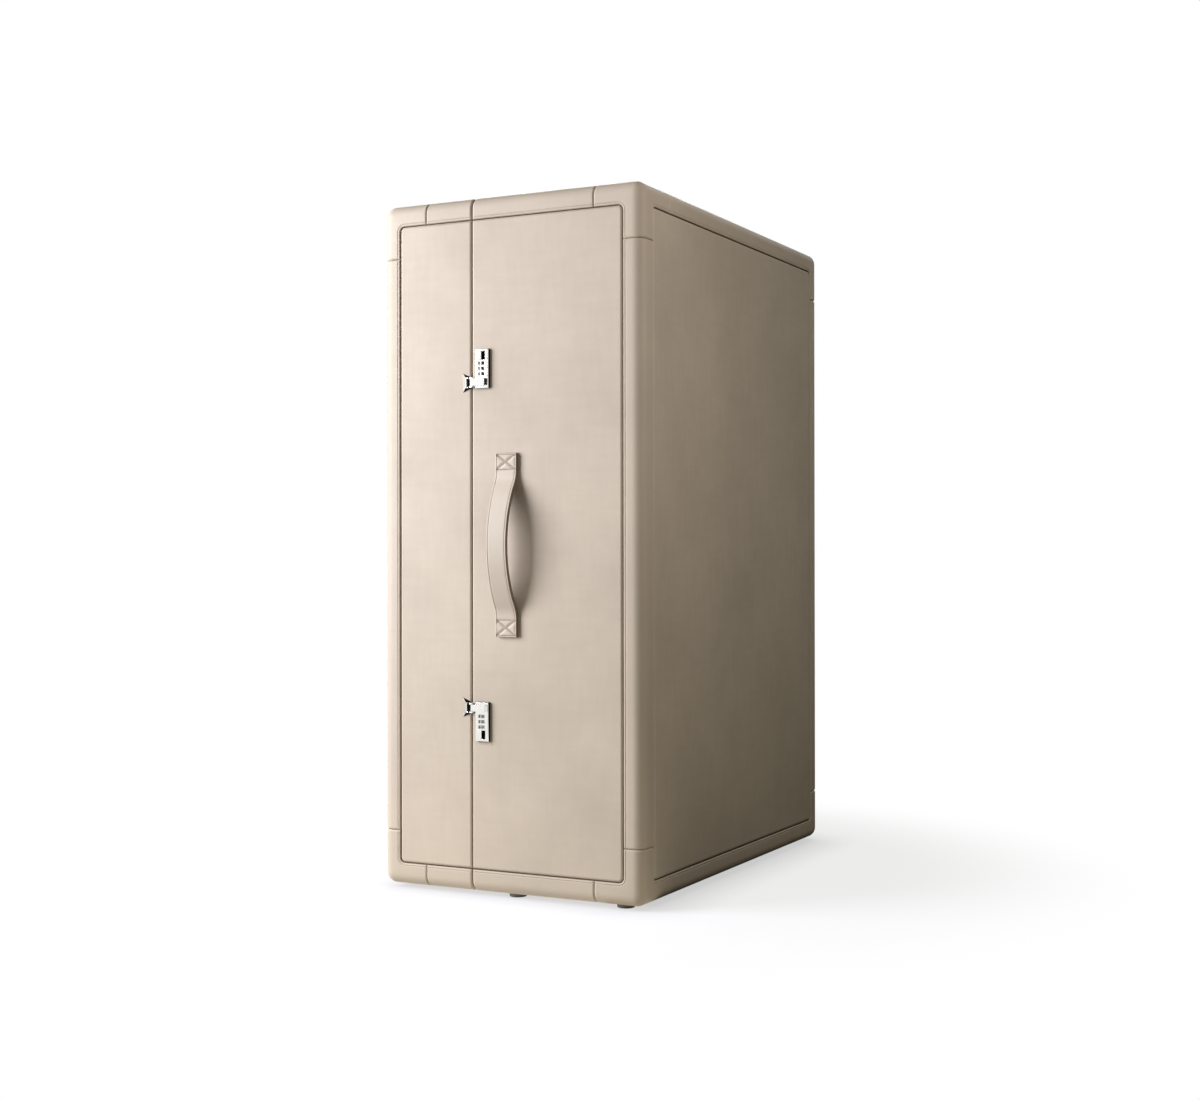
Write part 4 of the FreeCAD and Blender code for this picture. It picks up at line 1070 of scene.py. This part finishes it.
dress_all(["lock_plates"], [nickel, painted_shade_metal], "nickel", pick=plate_finish)
dress_all(["hasp_brackets"], [nickel, painted_shade_metal, dull_nickel], "nickel", pick=bracket_finish)
dress_all(["hasp_arm_upper", "hasp_arm_lower"], [nickel, painted_shade_metal], "nickel",
          pick=arm_finish)
dress_all(["lock_slider_upper", "lock_slider_lower", "hasp_pins", "lock_spindles"],
          [nickel], "nickel")


# %% Sink the channels beside the knuckles
CHANNEL_FROM, CHANNEL_TO, CHANNEL_DEEP = 4.3 * MM, 1.9 * MM, 0.9 * MM     # from the seam
CHANNEL_SHADE_TO, CHANNEL_SHADE_HALF = 0.8 * MM, 5.7 * MM             # how far the painted shade goes
ARM_OVER_CROWN, CROWN_WITHIN = 3.3 * MM, 0.2 * MM
brackets = bpy.data.objects["hasp_brackets_finished"]
crown_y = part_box("hasp_arm_upper")[0].y + ARM_OVER_CROWN
shape = bmesh.new()
shape.from_mesh(brackets.data)
for reach in (CHANNEL_FROM, CHANNEL_TO):
    bmesh.ops.bisect_plane(shape, geom=shape.faces[:] + shape.edges[:] + shape.verts[:],
                           plane_co=(LID_EDGE - reach, 0, 0), plane_no=(1, 0, 0))
channel = []
for face in shape.faces:
    middle = face.calc_center_median()
    from_seam = LID_EDGE - middle.x
    beside = min(abs(middle.z - z) for z in hasp_heights) < CHANNEL_SHADE_HALF
    if CHANNEL_SHADE_TO < from_seam < CHANNEL_FROM and beside:
        # Painted shade beside the knuckles, where the channel lies
        face.material_index = 1
        on_crown = face.normal.y < -0.95 and abs(middle.y - crown_y) < CROWN_WITHIN
        if on_crown and from_seam > CHANNEL_TO:
            channel.append(face)
sunk = bmesh.ops.extrude_face_region(shape, geom=channel)["geom"]
bmesh.ops.translate(shape, vec=(0, CHANNEL_DEEP, 0),
                    verts=[v for v in sunk if isinstance(v, bmesh.types.BMVert)])
shape.to_mesh(brackets.data)
shape.free()
print("bracket channels:", len(channel))

# %% [markdown]
# The case of each lock sits in the trunk's wall, so the leather has an opening behind
# each plate. Leaving the opening out of the panel's grid would mean a grid of its own
# for this one face. A boolean modifier cuts both openings from the finished panels, and
# its result becomes the mesh.

# %% Cut the leather behind the locks
def apply_modifiers(pieces):
    """Makes what the modifiers show each piece's own mesh."""
    graph = bpy.context.evaluated_depsgraph_get()
    shown = [bpy.data.meshes.new_from_object(piece.evaluated_get(graph)) for piece in pieces]
    for piece, mesh in zip(pieces, shown):
        piece.data = mesh
        piece.modifiers.clear()


CASE_HALF = (9.8 * MM, 8 * MM, 29.3 * MM)
cutters = bmesh.new()
for z in (plate_low.z + PLATE_TALL / 2, plate_high.z - PLATE_TALL / 2):
    spot = Matrix.Translation(((plate_low.x + plate_high.x) / 2, FRONT, z))
    bmesh.ops.create_cube(cutters, size=2.0, matrix=spot @ Matrix.Diagonal((*CASE_HALF, 1)))
cutter = put_in_scene("case_openings", mesh_from("case_openings", cutters))
body_panels = bpy.data.objects["body_panels"]
boolean = body_panels.modifiers.new("openings", "BOOLEAN")
boolean.operation, boolean.solver, boolean.object = "DIFFERENCE", "EXACT", cutter
apply_modifiers([body_panels])
bpy.data.objects.remove(cutter)
print("body panels, faces:", len(body_panels.data.polygons))

# %% [markdown]
# ## Dials
# Each dial is a drum with ten flat tiles, and between them notches for a finger nail,
# near black as painted shade. A cylinder with ten notches cut out of it would do too, but
# the outline is short enough to write down. The two walls of a notch cross halfway down,
# so it shows as a V.
# A number starts as a text curve, which Blender can turn into a thin solid, and stands a
# little proud of its tile, like printed ink.

# %% Build a dial
TILES = 10
TILE_HALF = math.radians(11.5)
NOTCH_DEEP = 0.8 * MM
BORE_RADIUS = 1.55 * MM


def dial_place(node_name):
    """The box of a dial, its middle, and how far its flat tiles stand from the axle."""
    low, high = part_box(node_name)
    return low, high, (low + high) / 2, (high.y - low.y) / 2


def build_dial(node_name):
    """A drum round an upright axle: rings of points at its foot and its top."""
    low, high, middle, flat = dial_place(node_name)
    edge = flat / math.cos(TILE_HALF)
    gap = 2 * math.pi / TILES - TILE_HALF
    outline = []
    for k in range(TILES):
        centre = 2 * math.pi * k / TILES
        outline += [(centre - gap, flat - NOTCH_DEEP), (centre - TILE_HALF, edge),
                    (centre + TILE_HALF, edge), (centre + gap, flat - NOTCH_DEEP)]
    shape = bmesh.new()
    rings = []
    for bore, z in ((None, low.z), (None, high.z), (BORE_RADIUS, high.z),
                    (BORE_RADIUS, low.z)):
        rings.append([shape.verts.new((middle.x + math.sin(angle) * (bore or radius),
                                       middle.y - math.cos(angle) * (bore or radius), z))
                      for angle, radius in outline])
    for first, second in zip(rings, rings[1:] + rings[:1]):
        for k, face in enumerate(join_rows(shape, first, second)):
            on_tile = first is rings[0] and k % 4 == 1
            # Tiles are nickel; the notches take the near-black metal, as painted shade
            face.material_index = 0 if on_tile else 1
    bmesh.ops.recalc_face_normals(shape, faces=shape.faces)
    finish_piece(node_name + "_drum", shape, node_name, [drum, painted_shade_metal], "nickel",
                 [node_name])


# %% A number as a thin solid
DIGIT_TALL, DIGIT_NARROW = 3.9 * MM, 0.8
FONT_TALL = 0.72                      # a figure's height as a share of the text size
INK_THICK, INK_BOLD = 0.03 * MM, 0.05 * MM


def number_mesh(text):
    curve = bpy.data.curves.new("number", "FONT")
    curve.body = text
    curve.size = DIGIT_TALL / FONT_TALL
    curve.align_x, curve.align_y = "CENTER", "CENTER"
    curve.extrude = INK_THICK
    curve.offset = INK_BOLD
    curve.resolution_u = 3
    maker = put_in_scene("number", curve)
    bpy.context.view_layer.update()
    mesh = bpy.data.meshes.new_from_object(maker)
    bpy.data.objects.remove(maker)
    return mesh


numbers = [number_mesh(str(k)) for k in range(TILES)]
print("numbers made:", len(numbers))

# %% Number the dials
FACING = (0, 3, 8, 6, 2, 5)           # the number that each dial shows in its window


def ink_numbers(node_name, first):
    """Ten numbers round a drum, so that the chosen first one faces the window."""
    low, high, middle, flat = dial_place(node_name)
    shape = bmesh.new()
    for k in range(TILES):
        angle = 2 * math.pi * k / TILES
        out = Vector((math.sin(angle), -math.cos(angle), 0))
        side = Vector((math.cos(angle), math.sin(angle), 0))
        spot = Matrix((side, Vector((0, 0, 1)), out)).transposed().to_4x4()
        spot.translation = middle + out * (flat + INK_THICK * 0.6)
        text = numbers[(first + k) % TILES].copy()
        text.transform(spot @ Matrix.Diagonal((DIGIT_NARROW, 1, 1, 1)))
        shape.from_mesh(text)
    bmesh.ops.remove_doubles(shape, verts=shape.verts, dist=SLIVER)
    finish_piece(node_name + "_numbers", shape, node_name, [ink], "nickel")


dial_names = ["dial_%s_%d" % (lock, k) for lock in ("upper", "lower") for k in (1, 2, 3)]
for name, first in zip(dial_names, FACING):
    build_dial(name)
    ink_numbers(name, first)
print("dials:", len(dial_names))

# %% [markdown]
# ## Hinges and glides
# The hinges are ordinary nickel butts with pan-headed screws. A screw needs its slot. A
# cut would break the round head into slivers, so a narrow bar is sunk across it instead,
# near black as the slot's painted shade, each turned a little differently, as a
# hand-driven screw ends up. The glides under the trunk are grey nylon.

# %% Dress the hinges and the glides
dress_all(["hinge_leaves_body", "hinge_leaves_lid", "hinge_pins"], [dull_nickel], "nickel")
dress_all(["hinge_screws_body", "hinge_screws_lid"], [nickel], "nickel", edge_mm=0.45,
          segments=3)
dress_all(["body_feet", "lid_feet"], [glide], "glide", edge_mm=0.8)

# %% Slot the screws
HEAD_WITHIN, HEAD_WIDE = 0.01 * MM, 8 * MM
SLOT_SIZE = (5.6 * MM, 0.12 * MM, 0.8 * MM)
FIRST_SLOT_TURN, NEXT_SLOT_TURN = 17, 67              # degrees


def screw_heads(node_name):
    """The middle of each screw's head: its outermost points, gathered by nearness."""
    shape = copy_of_node(node_name)
    face_y = max(v.co.y for v in shape.verts)
    points = [v.co.copy() for v in shape.verts if face_y - v.co.y < HEAD_WITHIN]
    shape.free()
    heads = []
    for point in points:
        near = [head for head in heads if (head[0] / head[1] - point).length < HEAD_WIDE]
        if near:
            near[0][0] += point
            near[0][1] += 1
        else:
            heads.append([point.copy(), 1])
    return [total / count for total, count in heads]


def slot_screws(node_name):
    heads = screw_heads(node_name)
    bars = bmesh.new()
    for k, middle in enumerate(heads):
        angle = math.radians(FIRST_SLOT_TURN + NEXT_SLOT_TURN * k)
        spot = Matrix.Translation(middle) @ Matrix.Rotation(angle, 4, "Y")
        bmesh.ops.create_cube(bars, size=1.0, matrix=spot @ Matrix.Diagonal((*SLOT_SIZE, 1)))
    # The slots are near black, as painted shade
    finish_piece(node_name + "_slots", bars, body_of_node(node_name), [painted_shade_metal], "nickel")
    return len(heads)


print("screws slotted:", slot_screws("hinge_screws_body") + slot_screws("hinge_screws_lid"))

# %% [markdown]
# ## The boards, rims and linings
# Inside, the trays are plywood boxes with hardwood rims, lined in suede over card. The
# grain of a rim runs along its longest side. One material with a turning vector could
# follow it, but three materials, one for each axis, are easier to read: a face takes the
# one of its own solid's longest axis. A drawer's walls are one solid, so there each face
# goes by itself. Suede card has soft turned edges, made by a wide bevel. The ply boards
# lie under the leather and the linings, so they keep their own meshes. They and the faces
# of the rims that look out under the leather are in a dark ply, as painted shade down the
# grooves.

# %% Which way the grain runs
def longest_axis(faces):
    spots = [v.co for face in faces for v in face.verts]
    spans = [max(p[a] for p in spots) - min(p[a] for p in spots) for a in range(3)]
    return spans.index(max(spans))


def along_face(shape):
    """For each face, its own longest axis: for boxes whose walls are one solid."""
    return {face: longest_axis([face]) for face in shape.faces}


def along_solid(shape):
    """For each face, the longest axis of the solid that it belongs to."""
    seen, answer = set(), {}
    for start in shape.faces:
        if start in seen:
            continue
        island, queue = [], [start]
        seen.add(start)
        while queue:
            face = queue.pop()
            island.append(face)
            for edge in face.edges:
                for other in edge.link_faces:
                    if other not in seen:
                        seen.add(other)
                        queue.append(other)
        axis = longest_axis(island)
        answer.update((face, axis) for face in island)
    return answer


# %% Dress the trays inside
UNDER_LEATHER = 2 * THICK


def faces_out(face):
    """Whether a face of a rim looks out of the trunk, under the leather."""
    spot, way = face.calc_center_median(), face.normal
    return any(abs(way[a]) > 0.9 and (spot[a] - LOW[a] < UNDER_LEATHER and way[a] < 0
                                      or HIGH[a] - spot[a] < UNDER_LEATHER and way[a] > 0)
               for a in (1, 2))


def dress_wood(names, woods, slot, grain=along_solid, **how):
    """Dresses wooden nodes, each face in the wood of its axis, and in the dark ply, as painted
    shade, if it faces out.
    """
    for node_name in names:
        piece = dressed(node_name, woods, slot, **how)
        shape = bmesh.new()
        shape.from_mesh(piece.data)
        for face, axis in grain(shape).items():
            # Faces that look out under the leather take the dark ply, as painted shade down the
            # grooves
            face.material_index = 3 if len(woods) > 3 and faces_out(face) else axis
        shape.to_mesh(piece.data)
        shape.free()
    print(slot, "wood parts:", len(names))


for tray, body, x_side in TRAYS:
    dress_wood([tray + "_rim"], hardwood + [groove_shade_ply], "hardwood", edge_mm=0.6)
    for part in ("_side_board", "_end_boards", "_front_board", "_back_board"):
        # The boards show only down the grooves, in the dark ply as painted shade
        board = frame["nodes"][tray + part].data
        board.materials.clear()
        board.materials.append(groove_shade_ply)
    dress_all([tray + "_linings"], [suede], "lining", edge_mm=0.9, segments=3)
dress_all(["closing_tongue"], [dull_nickel], "nickel")

# %% [markdown]
# ## Drawers, shelves, rail and hangers
# The fittings are walnut with nickel knobs and a nickel rail. A cabinet maker breaks
# every edge, and the width of the bevel tells how: the wide, soft one on the hangers
# stands for a spindle-moulded shoulder, and the thin one on the drawer boxes for a quick
# pass with sandpaper. They could be modelled again by hand, but their shapes are right
# already, so they are dressed like the metal.

# %% Dress the fittings
drawers = ["drawer_%d" % k for k in (1, 2, 3, 4)]
dress_wood(drawers, walnut, "walnut", grain=along_face, edge_mm=0.9)
dress_wood(["drawer_bay_frame", "partition", "shoe_rack"], walnut, "walnut", edge_mm=0.8)
dress_all([name + "_knob" for name in drawers], [nickel], "nickel", edge_mm=0.4)
dress_all(["rail_channel", "pull_out_rail", "shoe_guard_rods"], [nickel], "nickel",
          edge_mm=0.4)
dress_all(["lid_mirror"], [silvered_glass], "mirror", edge_mm=1.2)

# %% Dress the hangers
HOOK_TALL = 66 * MM


def wood_or_wire(hook_foot):
    """Picks nickel for the hook, which lies above its foot, and walnut below."""
    return lambda face: 1 if face.calc_center_median().z > hook_foot else 0


for k in (1, 2, 3):
    hanger = "hanger_%d" % k
    dressed(hanger, [walnut[1], nickel], "walnut", edge_mm=2.0, segments=3,
            pick=wood_or_wire(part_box(hanger)[1].z - HOOK_TALL))
print("hangers:", k)

# %% [markdown]
# Every dressed piece still carries the modifier that evens its normals. Left in place it
# would be worked out again for each picture and each export, so its result is made part
# of the meshes here, once all faces have their finish.

# %% Keep the flat faces flat
dressed_pieces = [piece for piece in bpy.data.objects if "even_normals" in piece.modifiers]
apply_modifiers(dressed_pieces)
print("pieces with even normals:", len(dressed_pieces))

# %% [markdown]
# ## The room
# The trunk stands on a pale floor that runs out to white. A floor that only catches
# shadows would leave the polished metal nothing to mirror, so this one is a real sheet.
# To the light it is a matt grey surface, so it throws little light up under the trunk.
# The camera and the polished metal see it lifted to white, with the trunk's soft shadow
# kept. Close to the foot, where an occlusion node finds little sky open, it is lifted
# less, which paints a contact shadow there, and further out it fades into the backdrop.

# %% Helpers for the room
def flat_sheet(name, width, length, spot):
    """A single flat sheet of studio kit, which is not part of the trunk."""
    shape = bmesh.new()
    bmesh.ops.create_grid(shape, x_segments=2, y_segments=2, size=0.5,
                          matrix=spot @ Matrix.Diagonal((width, length, 1, 1)))
    sheet = put_in_scene(name, mesh_from(name, shape))
    sheet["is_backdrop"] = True
    return sheet


def seen_directly(tree):
    """1 for what the camera sees, straight or in metal and glass, and 0 for lighting."""
    path = node(tree, "ShaderNodeLightPath")
    straight = math_node(tree, "MAXIMUM", path.outputs["Is Camera Ray"],
                         path.outputs["Is Glossy Ray"])
    return math_node(tree, "MAXIMUM", straight, path.outputs["Is Transmission Ray"])


# %% Floor
FLOOR_SIZE = 60.0
FADE_FROM, FADE_TO = 0.5, 1.0         # metres from the trunk's middle
FLOOR_LIFT, FOOT_LIFT = 0.79, 0.58
FOOT_REACH = 0.10
floor = flat_sheet("studio_floor", FLOOR_SIZE, FLOOR_SIZE, Matrix())
material, tree, shader = start_material("pale_floor", Roughness=0.9, Specular_IOR_Level=0.0)
speckle = noise(tree, place_in_metres(tree), 60.0, 3.0)
tree.links.new(blend_colour(tree, speckle, colour(70, 66, 58), colour(66, 62, 54)),
               shader.inputs["Base Color"])
pale = node(tree, "ShaderNodeBsdfDiffuse", {
    "Color": blend_colour(tree, speckle, colour(152, 153, 162), colour(148, 149, 158))})
# Painted contact shadow: the floor's glow is lowered near the trunk's foot
open_sky = node(tree, "ShaderNodeAmbientOcclusion", {"Distance": FOOT_REACH}, samples=12)
lift = node(tree, "ShaderNodeEmission", {
    "Color": (1, 1, 1, 1),
    "Strength": spread(tree, open_sky.outputs["AO"], 0.4, 1.0, FOOT_LIFT, FLOOR_LIFT)})
white = node(tree, "ShaderNodeEmission", {"Color": (1, 1, 1, 1), "Strength": 1.0})
lifted = node(tree, "ShaderNodeAddShader", {0: pale.outputs[0], 1: lift.outputs[0]})
away = node(tree, "ShaderNodeVectorMath", {0: place_in_metres(tree)}, operation="LENGTH")
fade = node(tree, "ShaderNodeMapRange", {"Value": away.outputs["Value"], "From Min": FADE_FROM,
                                         "From Max": FADE_TO}, interpolation_type="SMOOTHSTEP")
faded = node(tree, "ShaderNodeMixShader", {0: fade.outputs[0], 1: lifted.outputs[0],
                                           2: white.outputs[0]})
final = node(tree, "ShaderNodeMixShader", {0: seen_directly(tree), 1: shader.outputs[0],
                                           2: faded.outputs[0]})
tree.links.new(final.outputs[0], tree.nodes["Material Output"].inputs["Surface"])
floor.data.materials.append(material)
print("floor, m across:", FLOOR_SIZE)

# %% [markdown]
# ### Backdrop and dark cards
# All round is a white backdrop, a weak warm one to the light. Polished nickel in an all
# white room would look like white plastic, so black cards stand to the right, lie
# behind and hang overhead, as in a product studio. Only reflections see them: they cast
# no shadow.

# %% World and dark cards
world = bpy.data.worlds.new("studio")
bpy.context.scene.world = world
world.use_nodes = True
tree = world.node_tree
ambient = tree.nodes["Background"]
ambient.inputs["Color"].default_value = (0.98, 1.0, 0.7, 1)
ambient.inputs["Strength"].default_value = 0.11
backdrop = node(tree, "ShaderNodeBackground", {"Color": (1, 1, 1, 1), "Strength": 1.0})
mix = node(tree, "ShaderNodeMixShader", {0: seen_directly(tree), 1: ambient.outputs[0],
                                         2: backdrop.outputs[0]})
tree.links.new(mix.outputs[0], tree.nodes["World Output"].inputs["Surface"])

black_felt = soft_finish("black_felt", colour(20, 19, 18), colour(12, 12, 12), 300.0, 0.95, 0.1)


def dark_card(name, width, length, spot):
    card = flat_sheet(name, width, length, spot)
    card.data.materials.append(black_felt)
    card.visible_camera = card.visible_diffuse = card.visible_shadow = False
    card.visible_transmission = False


dark_card("card_right", 4.0, 17.0, Matrix.Translation((2.4, 0.6, 2.0))
          @ Matrix.Rotation(math.pi / 2, 4, "Y"))
dark_card("card_low", 2.2, 10.6, Matrix.Translation((1.28, 3.8, 0.003)))
dark_card("card_overhead", 3.0, 3.0, Matrix.Translation((-0.4, -0.1, 3.0)))

# %% [markdown]
# ### Lamps
# Even light from all round would hide the rolled edges and the stitches. So one wide
# soft lamp stands in front and well to the left at half height, and throws their small
# shadows to the right. Weak ones fill in the near edge and the shaded side, one on the
# floor lights the foot of the front from below, and the last lights the back and the
# top. The last two leave the floor's shadow alone.

# %% Lamps
def soft_lamp(name, place, target, size, power, tint=(1, 1, 1)):
    light = bpy.data.lights.new(name, "AREA")
    light.shape = "RECTANGLE"
    light.size, light.size_y = size
    light.energy = power
    light.color = tint
    lamp = put_in_scene(name, light)
    lamp.location = place
    lamp.rotation_euler = (Vector(target) - Vector(place)).to_track_quat("-Z", "Y").to_euler()
    lamp.visible_camera = False
    return lamp


soft_lamp("key", (-1.6, -1.6, 1.15), (0, -0.3, 0.65), (1.35, 1.8), 75, (0.97, 0.97, 1.0))
soft_lamp("near_edge", (0.68, -0.52, 1.05), (0.25, -0.2, 0.8), (0.6, 1.0), 1.1,
          (1.0, 0.9, 0.86))
soft_lamp("front_fill", (0.75, -0.95, 0.7), (0.26, -0.42, 0.6), (0.3, 1.2), 0.25,
          (1.0, 0.92, 0.86))
soft_lamp("low_front", (0.05, -0.74, 0.004), (0.05, -0.739, 1.0), (1.1, 0.8), 1.25,
          (1.0, 0.92, 0.74))
side = soft_lamp("side_fill", (1.65, -0.2, 1.35), (0.25, -0.1, 0.75), (1.0, 1.0), 4.3,
                 (1.0, 0.93, 0.78))
rear = soft_lamp("back_and_top", (-1.2, 2.4, 2.4), (0, 0.3, 0.7), (1.4, 1.4), 30)
not_the_floor = bpy.data.collections.new("not_the_floor")
not_the_floor.objects.link(floor)
not_the_floor.collection_objects[0].light_linking.link_state = "EXCLUDE"
for lamp in (side, rear):
    lamp.light_linking.receiver_collection = not_the_floor

# %% [markdown]
# ## The camera
# A long lens at half the trunk's height, turned to see the front and the side with the
# hinges behind. Its place and aim are written as numbers, because a fitted view is a
# measurement. The view transform is Standard, so a colour shows as it is written.

# %% Camera and view
EYE = Vector((1.48523, -2.94968, 0.58732))
AIM_TURN = 27.16553                   # degrees
AIM_LIFT, AIM_ROLL = 0.0031882, -0.0010753             # radians
FOCAL_PX, IMAGE_WIDE_PX, SENSOR_MM = 1724.6, 1200, 36.0
turn = math.radians(AIM_TURN)
forward = Vector((-math.sin(turn) * math.cos(AIM_LIFT), math.cos(turn) * math.cos(AIM_LIFT),
                  math.sin(AIM_LIFT)))
right = Vector((math.cos(turn), math.sin(turn), 0))
up = right.cross(forward)
level_right = right * math.cos(AIM_ROLL) + up * math.sin(AIM_ROLL)
level_up = up * math.cos(AIM_ROLL) - right * math.sin(AIM_ROLL)
lens = bpy.data.cameras.new("camera")
lens.sensor_fit = "HORIZONTAL"
lens.sensor_width = SENSOR_MM
lens.lens = FOCAL_PX * SENSOR_MM / IMAGE_WIDE_PX
camera = put_in_scene("camera", lens)
pose = Matrix((level_right, level_up, -forward)).transposed().to_4x4()
pose.translation = EYE
camera.matrix_world = pose
bpy.context.scene.camera = camera
bpy.context.scene.view_settings.view_transform = "Standard"
print("lens, mm:", round(lens.lens, 2))

# %% [markdown]
# ## How far the dressed trunk reaches
# The dressed trunk has to stay the size of the imported one. How far the dressed box
# reaches past the imported one, at each corner, is printed in millimetres.

# %% Print how far the dressed trunk reaches past the imported one
visual_box = [list(corner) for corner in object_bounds()]
print("grown by, mm:", [[round((v - c) / MM, 2) for v, c in zip(vs, cs)]
                        for vs, cs in zip(visual_box, cad_box)])
